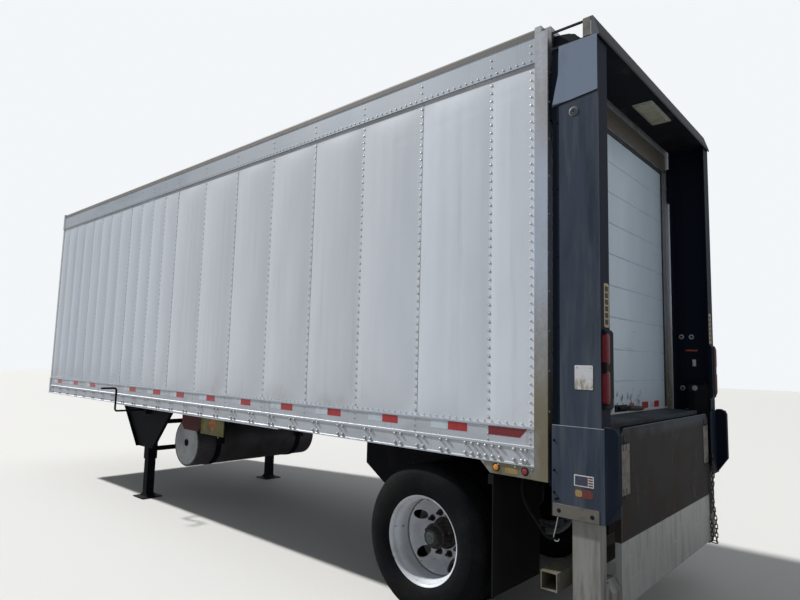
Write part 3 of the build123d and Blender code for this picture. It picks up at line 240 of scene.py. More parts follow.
def finish(name, color, rough, *layers, metal=0.0, coat=0.0, specular=0.4):
    # base paint or metal, then each mark lays its own colour and roughness over it through a noise mask
    marks, grains = ([layer for layer in layers if ("depth" in layer) == fine] for fine in (False, True))
    made = bpy.data.materials.new(name)
    made.use_nodes = True
    tree = made.node_tree
    place = added(tree, "TexCoord", {}).outputs["Object"]
    axes = added(tree, "SeparateXYZ", {0: place}).outputs

    def noise(layer, seed):
        scale = layer["scale"]
        mapping = added(tree, "Mapping", {
            "Vector": place, "Rotation": (layer["turn"], 0, 0), "Location": (seed * 3.1, seed * 1.7, seed * 2.3),
            "Scale": scale if isinstance(scale, tuple) else (scale,) * 3})
        inputs = {"Vector": mapping.outputs[0], "Scale": 1}
        if layer["kind"] == "cells":
            return added(tree, "SeparateColor", {0: added(tree, "TexVoronoi", inputs).outputs["Color"]}).outputs[0]
        return added(tree, "TexNoise", {**inputs, "Detail": layer["detail"], "Roughness": 0.6}).outputs["Fac"]

    def ranged(source, start, end, low, high):
        inputs = {"Value": source, "From Min": start, "From Max": end, "To Min": low, "To Max": high}
        return added(tree, "MapRange", inputs, interpolation_type="SMOOTHSTEP").outputs["Result"]

    def worked(operation, a, b):
        return added(tree, "Math", {0: a, 1: b}, operation=operation).outputs[0]

    def repeated(dots):
        # distance to the nearest point of a lattice: sqrt(saw(x)^2 + saw(z)^2), each saw folded at half its pitch
        gaps = [worked("PINGPONG", worked("SUBTRACT", axes["xyz".index(axis)], start), pitch / 2)
                for axis, pitch, start in dots]
        if len(gaps) < 2:
            return gaps[0]
        spread = added(tree, "CombineXYZ", dict(enumerate(gaps)))
        return added(tree, "VectorMath", {0: spread.outputs[0]}, operation="LENGTH").outputs["Value"]

    colorNow, roughNow, normalNow = (*color, 1), rough, None
    for number, layer in enumerate(marks):
        mask = ranged(noise(layer, number + 1), layer["start"], layer["end"], 0, layer["amount"])
        for key, (near, far) in layer["fades"].items():
            ends = (0, 1) if far > near else (1, 0)
            fade = ranged(axes["xyz".index(key[0])], min(near, far), max(near, far), *ends)
            mask = worked("MULTIPLY", mask, fade)
        for reach, dots in layer["around"]:
            mask = worked("MULTIPLY", mask, ranged(repeated(dots), reach[0], reach[1], 1, 0))
        paint = added(tree, "Mix", {"Factor": mask, 6: colorNow, 7: (*layer["color"], 1)}, data_type="RGBA")
        colorNow = paint.outputs[2]
        if layer["rough"] is not None:
            roughNow = added(tree, "Mix", {"Factor": mask, 2: roughNow, 3: layer["rough"]}).outputs[0]
    for number, layer in enumerate(grains):
        inputs = {"Strength": layer["strength"], "Distance": layer["depth"], "Height": noise(layer, number + 20)}
        if normalNow:
            inputs["Normal"] = normalNow
        normalNow = added(tree, "Bump", inputs).outputs["Normal"]
    shader = wired(tree.nodes["Principled BSDF"], {
        "Base Color": colorNow, "Roughness": roughNow, "Metallic": metal, "Coat Weight": coat,
        "Coat Roughness": 0.12, "Specular IOR Level": specular})
    if normalNow:
        wired(shader, {"Normal": normalNow})
    return made


dirt, rust, soot = (0.16, 0.13, 0.10), (0.20, 0.075, 0.03), (0.02, 0.02, 0.022)
rivetRows = (("x", 0.3048, -3.182), ("z", 0.0554, 1.395))
sheetWhite = finish("sheetWhite", (0.71, 0.76, 0.84), 0.30,
    # painted reflection: the sheets are paler and bluer towards the rear (x -2.6 to -3.4) and darker towards the
    # front (x -0.5 to 3.6)
    mark((1, 1, 0.4), (0.80, 0.87, 0.96), 0.95, 0.0, 0.2, x=(-2.6, -3.4)),
    mark((1, 1, 0.4), (0.47, 0.55, 0.66), 0.9, 0.0, 0.2, rough=0.4, x=(-0.5, 3.6)),
    mark((0.9, 0.9, 0.35), (0.62, 0.67, 0.75), 0.6, 0.35, 0.75, rough=0.38),
    mark((9, 9, 0.5), (0.50, 0.52, 0.54), 0.35, 0.56, 0.78, 6, 0.55),
    mark((3, 3, 2), (0.42, 0.40, 0.36), 0.5, 0.5, 0.8, 8, 0.6, z=(1.75, 1.36)),
    # painted shadow: dark rings round the sheets' rivet heads
    mark(8.0, (0.27, 0.27, 0.27), 0.75, 0.2, 0.5, 5, 0.6, around=(((0.0085, 0.0155), rivetRows),), x=(0.40, 0.60)),
    mark(8.0, (0.27, 0.27, 0.27), 0.75, 0.2, 0.5, 5, 0.6,
         around=(((0.0085, 0.0155), (("x", 0.6096, -3.182), ("z", 0.0554, 1.395))),), x=(0.60, 0.40)),
    mark((2, 2, 6), (0.16, 0.17, 0.18), 0.85, 0.2, 0.6, 5, 0.6,
         around=(((0.0015, 0.0038), (("x", 1.2192, -3.1985),)),)),
    # painted shade: the flat strip under the top band, above z 3.63, is darker
    mark((2, 2, 6), (0.30, 0.31, 0.33), 0.85, 0.2, 0.6, 5, 0.6, z=(3.626, 3.634)),
    grain((2.2, 2.2, 1.4), 2, 0.35, 0.006),
    grain(260.0, 1, 0.06, 0.0005), coat=0.35)
rivetWhite = finish("rivetWhite", (0.62, 0.64, 0.66), 0.32,
    mark(30.0, (0.42, 0.42, 0.42), 0.5, rough=0.5), metal=0.2)
railMetal = finish("railMetal", (0.53, 0.57, 0.63), 0.42,
    mark((2.5, 8, 8), (0.40, 0.43, 0.47), 0.6, 0.4, 0.7, 6, 0.5),
    mark((16, 3, 2.0), (0.24, 0.23, 0.22), 0.6, 0.55, 0.8, 8, 0.65),
    grain((1.5, 220, 220), 3, 0.12, 0.0006), metal=0.2)
boltMetal = finish("boltMetal", (0.43, 0.44, 0.45), 0.42, mark(25.0, (0.35, 0.33, 0.30), 0.6, rough=0.6), metal=0.3)
topBand = finish("topBand", (0.36, 0.41, 0.47), 0.5,
    mark((1.2, 5, 5), (0.29, 0.33, 0.38), 0.7, 0.4, 0.7, 5, 0.6),
    mark((20, 4, 2.0), (0.27, 0.27, 0.27), 0.5, 0.55, 0.8, 8, 0.6),
    mark((0.7, 4, 1.0), (0.44, 0.47, 0.52), 0.5, 0.42, 0.6, 2, 0.45),
    # painted shade: the band's top lip, above z 3.84, is darker and browner
    mark((3, 3, 1), (0.13, 0.115, 0.10), 0.9, 0.0, 0.4, 5, 0.7, z=(3.8380, 3.8400)),
    grain((1.2, 160, 160), 3, 0.1, 0.0006), metal=0.2)
galvanised = finish("galvanised", (0.29, 0.31, 0.35), 0.42,
    mark(55.0, (0.42, 0.44, 0.46), 0.35, 0.1, 0.9, kind="cells"),
    mark((6, 6, 0.9), (0.20, 0.19, 0.18), 0.65, 0.42, 0.7, 6, 0.5),
    mark((14, 14, 5), rust, 0.5, 0.6, 0.75, 8, 0.8),
    # painted reflections: a paler blue band between z 1.9 and 3.4 stands for the sky, and a yellow-brown tone below z
    # 2.3 for the ground
    mark((5, 5, 1.2), (0.36, 0.42, 0.52), 0.7, 0.2, 0.6, 5, 0.35, z=(1.9, 2.4), zAlso=(3.4, 2.9)),
    mark((5, 5, 2), (0.16, 0.135, 0.072), 0.9, 0.2, 0.6, 5, 0.55, z=(2.3, 1.3)),
    grain((30, 30, 3), 3, 0.12, 0.001), metal=0.5)
runnerSteel = finish("runnerSteel", (0.007, 0.008, 0.011), 0.5,
    mark((16, 16, 1.5), (0.30, 0.30, 0.29), 0.95, 0.0, 0.6, 7, 0.42, z=(0.96, 0.90)),
    mark((14, 14, 3), rust, 0.35, 0.55, 0.75, 8, 0.8, z=(0.96, 0.90)),
    mark((11, 11, 1.6), (0.10, 0.10, 0.10), 0.7, 0.45, 0.62, 7, 0.6, z=(0.96, 0.90)),
    grain(60.0, 3, 0.2, 0.001), specular=0.15)
flapPaint = finish("flapPaint", (0.075, 0.092, 0.120), 0.5,
    mark((6, 6, 3), (0.12, 0.13, 0.14), 0.6, 0.4, 0.7, 7, 0.65),
    mark(22.0, rust, 0.5, 0.62, 0.72, 8, 0.8),
    grain(200.0, 2, 0.2, 0.0006), specular=0.3)
blackSteel = finish("blackSteel", (0.006, 0.007, 0.010), 0.6,
    mark(5.0, (0.022, 0.020, 0.019), 0.7, 0.5, 0.75, 8, 0.75),
    mark(22.0, rust, 0.55, 0.62, 0.75, 8, 0.85),
    grain(90.0, 4, 0.2, 0.0012), specular=0.06)
# the columns' outer faces: (inner, outer) Y of the face, then of the flap plate's own face
outerFaces = (((1.0430, 1.0460), (1.0496, 1.0505)), ((-1.3760, -1.3790), (-1.3826, -1.3835)))
charcoal = finish("charcoal", (0.008, 0.013, 0.024), 0.6,
    # painted light: only the columns' outer faces, ahead of x -4.5515, get the paler slate colour and its brushed
    # streaks, so the rear faces and fins stay dark as if shaded
    *(mark(3.0, (0.054, 0.071, 0.104), 1.0, 0.0, 0.05, y=y, x=(-4.5535, -4.5515)) for y, _ in outerFaces),
    *(mark((26, 26, 2.2), (0.092, 0.108, 0.132), 0.7, 0.42, 0.7, 7, 0.62, y=y, x=(-4.5535, -4.5515))
      for y, _ in outerFaces),
    *(mark((9, 9, 1.1), (0.024, 0.031, 0.046), 0.6, 0.5, 0.72, 6, 0.6, y=y) for y, _ in outerFaces),
    *(mark(3.0, (0.25, 0.31, 0.42), 0.9, 0.0, 0.05, y=y, z=(3.34, 3.345)) for _, y in outerFaces),
    mark((5, 5, 1.2), (0.018, 0.026, 0.042), 0.6, 0.5, 0.8, 6, 0.65),
    mark(9.0, rust, 0.4, 0.68, 0.74, 9, 0.8),
    grain(420.0, 2, 0.25, 0.0006),
    grain(3.0, 2, 0.2, 0.004), specular=0.05)
soffitBlack = finish("soffitBlack", (0.010, 0.011, 0.015), 0.6,
    mark(6.0, (0.06, 0.055, 0.05), 0.6, 0.5, 0.75, 7, 0.75),
    grain(60.0, 4, 0.2, 0.001), specular=0.10)
deckSteel = finish("deckSteel", (0.019, 0.017, 0.018), 0.6,
    mark(4.0, (0.034, 0.026, 0.021), 0.8, 0.42, 0.66, 8, 0.75),
    mark((18, 18, 5), (0.075, 0.069, 0.062), 0.7, 0.58, 0.74, 9, 0.65),
    mark(75.0, (0.036, 0.032, 0.030), 0.8, 0.50, 0.62, 8, 0.8),
    mark(45.0, (0.075, 0.036, 0.02), 0.7, 0.62, 0.72, 6, 0.9),
    mark(3.0, (0.024, 0.036, 0.050), 0.9, 0.3, 0.6, 6, 0.5, z=(1.27, 1.34)),
    grain(130.0, 3, 0.5, 0.0018), specular=0.12)
deckAlu = finish("deckAlu", (0.38, 0.39, 0.39), 0.5,
    mark((12, 12, 2.5), (0.23, 0.225, 0.21), 0.7, 0.45, 0.7, 8, 0.65),
    mark((3, 3, 40), (0.50, 0.50, 0.47), 0.6, 0.6, 0.75, 5, 0.4),
    grain((6, 6, 160), 3, 0.2, 0.0008), metal=0.5)
rubber = finish("rubber", (0.008, 0.008, 0.010), 0.65,
    mark((6, 6, 2.5), (0.020, 0.019, 0.018), 0.7, 0.45, 0.7, 7, 0.8),
    grain(70.0, 3, 0.2, 0.001), specular=0.1)
tyreRubber = finish("tyreRubber", (0.008, 0.009, 0.011), 0.7,
    mark(3.0, (0.020, 0.020, 0.020), 0.8, 0.4, 0.7, 6, 0.78),
    mark(40.0, (0.055, 0.050, 0.044), 0.35, 0.6, 0.75, 6, 0.85),
    grain(240.0, 3, 0.2, 0.0006), specular=0.04)
wheelWhite = finish("wheelWhite", (0.66, 0.70, 0.76), 0.30,
    mark(5.0, (0.40, 0.38, 0.34), 0.6, 0.45, 0.72, 7, 0.5),
    mark(26.0, rust, 0.7, 0.62, 0.70, 8, 0.85),
    # painted shadow: a dark ring in the groove where each disc meets its barrel
    mark(9.0, (0.07, 0.07, 0.065), 0.85, 0.0, 0.3, 6, 0.7, y=(0.8335, 0.8375), yAlso=(0.8500, 0.8465)),
    mark(9.0, (0.07, 0.07, 0.065), 0.85, 0.0, 0.3, 6, 0.7, y=(-1.1665, -1.1705), yAlso=(-1.1830, -1.1795)),
    grain(30.0, 3, 0.1, 0.001), coat=0.3)
hubGrease = finish("hubGrease", (0.018, 0.017, 0.016), 0.4,
    mark(14.0, (0.10, 0.075, 0.05), 0.7, 0.5, 0.72, 7, 0.7),
    mark(34.0, (0.25, 0.24, 0.22), 0.5, 0.6, 0.7, 7, 0.5),
    grain(120.0, 4, 0.4, 0.0015), specular=0.25)
capGlass = finish("capGlass", (0.045, 0.075, 0.075), 0.2, mark(40.0, (0.09, 0.14, 0.14), 0.7), coat=0.4)
doorWhite = finish("doorWhite", (0.56, 0.68, 0.80), 0.38,
    mark((1, 2, 0.8), (0.49, 0.59, 0.70), 0.6, 0.35, 0.7, rough=0.5),
    mark((1, 13, 10), soot, 0.9, 0.52, 0.58, 9, 0.6, turn=0.7, z=(1.60, 1.50), zAlso=(1.36, 1.39), y=(-0.66, -0.46),
         yAlso=(0.12, 0.0)),
    mark((1, 3, 26), (0.44, 0.45, 0.46), 0.6, 0.70, 0.74, 2, turn=0.3),
    mark((1, 8, 4), (0.40, 0.39, 0.37), 0.6, 0.5, 0.75, 8, 0.6, z=(1.75, 1.4)),
    grain((1, 4, 240), 2, 0.1, 0.0006), coat=0.15)
doorSeal = finish("doorSeal", (0.025, 0.026, 0.028), 0.6,
    mark(12.0, (0.07, 0.07, 0.07), 0.6, detail=6, rough=0.75), specular=0.2)
headerBronze = finish("headerBronze", (0.105, 0.092, 0.078), 0.45,
    mark((3, 3, 9), (0.09, 0.075, 0.055), 0.7, 0.4, 0.7, 7, 0.6),
    mark(20.0, (0.20, 0.19, 0.17), 0.5, 0.6, 0.72, 7), metal=0.3)
noseWhite = finish("noseWhite", (0.57, 0.58, 0.59), 0.42,
    mark((4, 4, 0.8), (0.50, 0.50, 0.48), 0.5, 0.5, 0.75, 6, 0.5),
    grain(200.0, 1, 0.05, 0.0005), coat=0.1)
roofWhite = finish("roofWhite", (0.60, 0.61, 0.61), 0.45, mark(2.0, (0.44, 0.43, 0.40), 0.6, 0.4, 0.7, 7, 0.6))
tankDark = finish("tankDark", (0.085, 0.085, 0.095), 0.5,
    mark(3.5, (0.050, 0.050, 0.052), 0.8, 0.4, 0.7, 7, 0.65),
    mark((9, 2, 9), dirt, 0.6, 0.55, 0.75, 7, 0.8),
    grain((150, 3, 150), 3, 0.12, 0.0006), specular=0.2, metal=0.2)
tankAlu = finish("tankAlu", (0.36, 0.39, 0.41), 0.42,
    mark(5.0, (0.27, 0.28, 0.28), 0.7, 0.4, 0.7, 7, 0.6),
    mark(16.0, dirt, 0.5, 0.58, 0.74, 8, 0.8),
    grain(90.0, 3, 0.12, 0.0006), metal=0.2)
boxRed = finish("boxRed", (0.085, 0.013, 0.012), 0.6,
    mark(7.0, (0.05, 0.018, 0.016), 0.8, 0.45, 0.7, 7, 0.65),
    mark(26.0, dirt, 0.6, 0.6, 0.72, 8, 0.8), specular=0.2)
signOlive = finish("signOlive", (0.20, 0.185, 0.05), 0.5, mark(9.0, (0.08, 0.075, 0.05), 0.8, 0.42, 0.7, 7, 0.7))
signOrange = finish("signOrange", (0.55, 0.16, 0.03), 0.45, mark(16.0, (0.22, 0.09, 0.03), 0.7, 0.5, 0.7, 7, 0.65))
chainSteel = finish("chainSteel", (0.055, 0.050, 0.046), 0.42,
    mark(40.0, rust, 0.8, 0.5, 0.7, 7, 0.85),
    mark(90.0, (0.22, 0.21, 0.20), 0.6, 0.6, 0.7, 5, 0.35),
    grain(200.0, 4, 0.3, 0.0008), specular=0.3, metal=0.5)
brightSteel = finish("brightSteel", (0.55, 0.56, 0.56), 0.3,
    mark(30.0, (0.30, 0.30, 0.29), 0.6, detail=6, rough=0.5), metal=0.85)
paleCap = finish("paleCap", (0.40, 0.41, 0.42), 0.4, mark(50.0, (0.22, 0.22, 0.22), 0.6, detail=6, rough=0.6))
noseGrey = finish("noseGrey", (0.30, 0.31, 0.32), 0.5, mark(12.0, (0.20, 0.20, 0.20), 0.6, detail=6, rough=0.65))
markOrange = finish("markOrange", (0.45, 0.10, 0.02), 0.5, mark(50.0, (0.16, 0.05, 0.02), 0.6, detail=6))
labelDark = finish("labelDark", (0.040, 0.045, 0.075), 0.4, mark(60.0, (0.07, 0.08, 0.12), 0.6))
tapeRed = finish("tapeRed", (0.42, 0.018, 0.028), 0.3,
    mark(420.0, (0.58, 0.03, 0.04), 0.6, 0.2, 0.8, kind="cells"),
    mark(12.0, (0.20, 0.02, 0.025), 0.4), coat=0.4)
tapeDark = finish("tapeDark", (0.15, 0.010, 0.018), 0.35,
    mark(420.0, (0.28, 0.015, 0.022), 0.6, 0.2, 0.8, kind="cells"), coat=0.3)
tapeSilver = finish("tapeSilver", (0.60, 0.72, 0.86), 0.28,
    mark(420.0, (0.66, 0.70, 0.74), 0.7, 0.2, 0.8, kind="cells"),
    mark(9.0, (0.38, 0.40, 0.42), 0.5), metal=0.1, coat=0.4)
lensRed = finish("lensRed", (0.22, 0.008, 0.012), 0.18,
    mark(260.0, (0.40, 0.02, 0.025), 0.6, 0.2, 0.8, kind="cells"), coat=0.6)
lensDeep = finish("lensDeep", (0.135, 0.010, 0.016), 0.45,
    mark((60, 60, 200), (0.19, 0.020, 0.028), 0.6, 0.2, 0.8, kind="cells"), specular=0.2)
lensAmber = finish("lensAmber", (0.75, 0.24, 0.02), 0.2,
    mark(260.0, (0.85, 0.42, 0.06), 0.6, 0.2, 0.8, kind="cells"), coat=0.5)
lensPale = finish("lensPale", (0.42, 0.40, 0.30), 0.3,
    mark(120.0, (0.52, 0.50, 0.38), 0.6, 0.2, 0.8, kind="cells"),
    mark(14.0, (0.24, 0.22, 0.16), 0.6, detail=6), coat=0.3)
plateBlank = finish("plateBlank", (0.62, 0.65, 0.66), 0.35, mark(14.0, (0.45, 0.46, 0.45), 0.6, 0.5, 0.7, 6))
plateWorn = finish("plateWorn", (0.66, 0.68, 0.72), 0.3,
    mark((60, 60, 22), (0.30, 0.24, 0.14), 0.9, 0.40, 0.60, 8, 0.6, z=(1.675, 1.640)),
    mark(30.0, (0.48, 0.48, 0.47), 0.6, 0.5, 0.7, 6))
labelRed = finish("labelRed", (0.15, 0.030, 0.026), 0.45, mark(50.0, (0.09, 0.028, 0.022), 0.7, detail=6))
stripSteel = finish("stripSteel", (0.145, 0.135, 0.12), 0.5,
    mark((14, 14, 30), (0.085, 0.078, 0.072), 0.8, 0.42, 0.68, 8, 0.65),
    mark(40.0, (0.26, 0.25, 0.235), 0.5, 0.62, 0.72, 7), metal=0.2)
plateYellow = finish("plateYellow", (0.34, 0.25, 0.10), 0.45, mark(18.0, (0.17, 0.13, 0.06), 0.7, 0.5, 0.7, 6))

nodeFinish = {
    "side_wall": sheetWhite, "front_wall": noseWhite, "reefer_housing": noseWhite, "roof": roofWhite,
    "rollup_door": doorWhite, "bottom_rail": railMetal, "front_rails": railMetal, "top_rail": topBand,
    "rear_frame": galvanised, "marker_brackets": galvanised, "underride": galvanised,
    "lift_column": charcoal, "lift_cover": charcoal, "lift_header": soffitBlack, "platform_heel": deckAlu,
    "platform": deckSteel, "bed_extension": deckSteel, "mud_flaps": rubber, "air_springs": rubber,
    "tyres": tyreRubber, "rims": wheelWhite, "hub": hubGrease, "tail_lamps": lensRed, "marker_lamps": lensAmber,
    "dome_lamp": lensPale, "fuel_tank": tankAlu, "floor_deck": railMetal, "lift_runners": runnerSteel,
    "platform_chain": chainSteel, "rail_box": boxRed, "placard_holders": signOlive, "service_couplings": blackSteel,
}
for nodeName, node in nodes.items():
    match = max((key for key in nodeFinish if nodeName.startswith(key)), key=len, default=None)
    node.data.materials.clear()
    node.data.materials.append(nodeFinish[match] if match else blackSteel)
print("finishes made:", len(bpy.data.materials))


# Side sheets: foam filled bays that swell between the rivet lines
sheets = {
    "seamX": -3.182, "foot": 0.3048, "rearEdge": rearX + 0.091, "frontEdge": 4.104,
    "posts": [-2.99] + list(range(-2, 12, 2)) + list(range(12, 24)) + [23.82],
    "seams": (0, 4, 8, 12, 16, 20), "rivetInset": 0.0128, "swell": 0.0120, "waves": 0.0005, "lapHeight": 0.0012,
    "lapReach": 0.015, "low": 1.359, "high": 3.663, "flat": 3.632, "columns": 30, "rows": 84, "core": 0.0150,
    "inner": 0.0835, "top": 3.827,
    "bow": 2.2, "fade": 14, "bayWidth": 0.61, "leastSwell": 0.55,
}
# a dent in the rear bay
crease = {"z": 3.50, "x": -3.9, "slope": 0.10, "width": 0.014, "depth": 0.0012, "front": -2.9}


def sheetX(feet):
    return sheets["seamX"] + sheets["foot"] * np.asarray(feet, float)


def rippled(x, z, seed):
    # a few slow waves stand for the sheet's own unevenness
    total = np.zeros(np.broadcast(x, z).shape)
    waves = np.random.default_rng(seed)
    for _ in range(7):
        total += np.sin(x * waves.uniform(0.8, 5) + z * waves.uniform(-4, 4) + waves.uniform(0, 6.3)) / 7
    return total


def sheetInset(x, z, seed):
    # inset = rivet line - swell * (1 - |2t - 1|^bow) * edge fade - waves, with t across the bay
    lines = sheetX(sheets["posts"])
    bay = np.clip(np.searchsorted(lines, x, side="right") - 1, 0, len(lines) - 2)
    width = lines[bay + 1] - lines[bay]
    t = np.clip((x - lines[bay]) / width, 0, 1)
    across = 1 - np.abs(2 * t - 1) ** sheets["bow"]
    w = (z - sheets["low"]) / (sheets["flat"] - sheets["low"])
    upward = np.clip(1 - np.abs(2 * np.clip(w, 0, 1) - 1) ** sheets["fade"], 0, 1)
    size = sheets["swell"] * np.clip(width / sheets["bayWidth"], sheets["leastSwell"], 1)
    swell = size * across * upward * (0.88 + 0.22 * rippled(x * 3, z * 1.5, seed))
    # a Gaussian ridge along a slanted line: depth * exp(-(distance / width)^2)
    distance = z - crease["z"] + crease["slope"] * (x - crease["x"])
    dent = crease["depth"] * np.exp(-(distance / crease["width"]) ** 2) * (x < crease["front"]) * across
    fine = rippled(x * 14, z * 0.5, seed + 3) + rippled(x * 30, z * 0.7, seed + 9)
    swell = swell + sheets["waves"] * across * upward * fine
    return sheets["rivetInset"] - np.clip(swell - dent, 0, sheets["rivetInset"] - 0.0004)


sheetEdges = [sheets["rearEdge"]] + list(sheetX(sheets["seams"]) - sheets["lapReach"]) + [sheets["frontEdge"]]
for sideName, side in bothSides:
    strips = []
    for number, (start, end) in enumerate(zip(sheetEdges, sheetEdges[1:])):
        bays = max(1, round((end - start) / 0.3))
        x = np.linspace(start, end, bays * sheets["columns"] // 2 + 1)
        z = np.linspace(sheets["low"], sheets["high"], sheets["rows"] + 1)
        gridX, gridZ = np.meshgrid(x, z, indexing="ij")
        inset = sheetInset(gridX, gridZ, number + 5 * side + 40)
        # the lap: each sheet stands proud of the one behind it near its rear edge
        inset = inset - sheets["lapHeight"] * np.exp(-((gridX - start) / 0.05) ** 2) * (number > 0)
        points = np.stack([gridX, sideY(side, np.clip(inset, 0.0003, None)), gridZ], -1)
        edge = points[0].copy()
        edge[:, 1] = sideY(side, sheets["core"])
        strips.append(gridShape(np.concatenate([edge[None], points])))
    piece("sideSheets_" + sideName, joined(strips), sheetWhite, facing=(0, side, 0), slot="white", sharp=25)
    core = block((rearX + 0.090, sideY(side, sheets["core"]), sheets["low"] - 0.001),
                 (sheets["frontEdge"] - 0.036, sideY(side, sheets["inner"]), sheets["top"]))
    piece("wallBoard_" + sideName, core, noseWhite, slot="white", replaces=("side_wall_" + sideName,))
print("side sheets made")

# Rivets and bolts
fasteners = {"rivetRadius": 0.0088, "rivetHeight": 0.0052, "bandRadius": 0.0078, "bandHeight": 0.0037,
             "columnPitch": 0.0554, "bandPitch": 0.0508,
             "boltRadius": 0.0105, "railFace": 0.006, "bandFace": 0.004, "bandZ": 3.685, "postZ": (3.7358, 3.7866),
             "pairStart": 0.494, "pairHalf": 0.092, "railBoltZ": (1.2165, 1.1540),
             "railRivetZ": (1.258, 1.292, 1.330)}


def domeShape(radius, height, sides=8, rings=3):
    # a shallow dome: radius * cos(a) against height * sin(a)
    angle = np.linspace(0, np.pi / 2 * 0.86, rings)
    profile = np.stack([radius * np.cos(angle), height * np.sin(angle)], -1)
    return lathe(profile, sides, closeEnd=True)


rivet = domeShape(fasteners["rivetRadius"], fasteners["rivetHeight"])
bandRivet = domeShape(fasteners["bandRadius"], fasteners["bandHeight"])
boltLine = np.array([(1.25, 0), (1.25, 0.0012), (1.0, 0.0016), (0.94, 0.0040),
                     (0.6, 0.0055)]) * (fasteners["boltRadius"], 1)
for sideName, side in bothSides:
    outward = (0, side, 0)
    sheetFace = sideY(side, sheets["rivetInset"])
    z = np.arange(sheets["low"] + 0.036, sheets["flat"] - 0.012, fasteners["columnPitch"])
    columns = sheetX(sheets["posts"])
    columns[0] = sheets["rearEdge"] + 0.030
    columns[-1] = sheets["frontEdge"] - 0.018
    bottomX = np.arange(sheets["rearEdge"] + 0.03, sheets["frontEdge"] - 0.01, fasteners["columnPitch"])
    places = np.concatenate([along(columns[:, None], sheetFace, z),
                             along(bottomX, sheetFace, sheets["low"] + 0.014)])
    rows("sheetRivets_" + sideName, rivet, outward, places, rivetWhite, facing="asBuilt", slot="white")

    bandX = np.arange(sheets["rearEdge"] + 0.03, sheets["frontEdge"] - 0.01, fasteners["bandPitch"])
    bandFace = sideY(side, fasteners["bandFace"])
    places = np.concatenate([along(bandX, bandFace, fasteners["bandZ"]),
                             along(columns[:, None], bandFace, fasteners["postZ"])])
    rows("bandRivets_" + sideName, bandRivet, outward, places, boltMetal, facing="asBuilt", slot="bare_alu")

    railFace = sideY(side, fasteners["railFace"])
    centres = np.concatenate([np.arange(fasteners["pairStart"], 24, 1.0), [-0.185, -0.868]])
    pairs = np.concatenate([centres - fasteners["pairHalf"], centres + fasteners["pairHalf"],
                            np.linspace(-2.30, -1.44, 6), [-2.63, -2.81, -2.90]])
    boltX = sheetX(pairs)
    boltX = boltX[(boltX > sheets["rearEdge"] + 0.015) & (boltX < 4.15)]
    places = along(boltX, railFace, np.array(fasteners["railBoltZ"])[:, None])
    # the left side has room for the bolts' real height
    bolt = lathe(boltLine * (1, 2.1 if side > 0 else 1), 10, closeEnd=True)
    rows("railBolts_" + sideName, bolt, outward, places, boltMetal, facing="asBuilt", slot="bare_alu")
    places = along(columns[:, None], railFace, fasteners["railRivetZ"])
    rows("railRivets_" + sideName, bandRivet, outward, places, boltMetal, facing="asBuilt", slot="bare_alu")
print("fasteners made")

# Reflective tape on the rails' upper band: each red's front and rear end in feet ahead of the rear seam
tape = {
    "low": 1.289, "high": 1.343, "thick": 0.0009, "silver": 0.145, "lean": 0.05, "rear": (-2.01843, -2.92551),
    "reds": ((22.89106, 22.35049), (20.83188, 20.32925), (18.90379, 18.33713), (14.92331, 14.37687),
             (12.90745, 12.34306), (11.12448, 10.59764), (9.09276, 8.58850), (7.07531, 6.55790), (5.03658, 4.51134),
             (3.01882, 2.50826), (1.01904, 0.52148), (-0.96754, -1.47660)),
}
redSpans = sheetX(tape["reds"])
for sideName, side in bothSides:
    face = sideY(side, fasteners["railFace"])
    proud = face + side * tape["thick"]
    reds = [block((span[1], face, tape["low"]), (span[0], proud, tape["high"])) for span in redSpans]
    silvers = [block((span[0], face, tape["low"]), (span[0] + tape["silver"], proud, tape["high"]))
               for span in redSpans]
    piece("tapeRed_" + sideName, joined(reds), tapeRed, slot="lens")
    piece("tapeSilver_" + sideName, joined(silvers), tapeSilver, slot="bare_alu")
    x0, x1 = sheetX(tape["rear"])
    outline = ((x0, tape["low"]), (x0, tape["high"]), (x1, tape["high"]), (x1 + tape["lean"], tape["low"]))
    piece("tapeRear_" + sideName, plateShape(outline, face, proud, 1), tapeDark, slot="lens")
print("tape made")

# Wheels: tyres, rims and hubs round the axle
wheels = {
    "axleX": -3.239, "axleZ": 0.509, "outerInset": 0.160, "innerInset": 0.490, "discInset": 0.325, "steps": 112,
    "studs": 10, "studCircle": 0.1429, "holes": 5, "holeCircle": 0.2155, "holeRadius": 0.0375, "holeStart": 28,
    "discInner": 0.109, "discOuter": 0.2668,
}


def smoothLine(points, count):
    # a curve through the points: Catmull-Rom pieces on the summed chord length
    points = np.asarray(points, float)
    padded = np.concatenate([2 * points[:1] - points[1:2], points, 2 * points[-1:] - points[-2:-1]])
    t = np.linspace(0, len(points) - 1, count)
    index = np.clip(t.astype(int), 0, len(points) - 2)
    u = (t - index)[:, None]
    p0, p1, p2, p3 = (padded[index + k] for k in range(4))
    squared, cubed = 2 * p0 - 5 * p1 + 4 * p2 - p3, 3 * p1 - p0 - 3 * p2 + p3
    return 0.5 * (2 * p1 + (p2 - p0) * u + squared * u ** 2 + cubed * u ** 3)


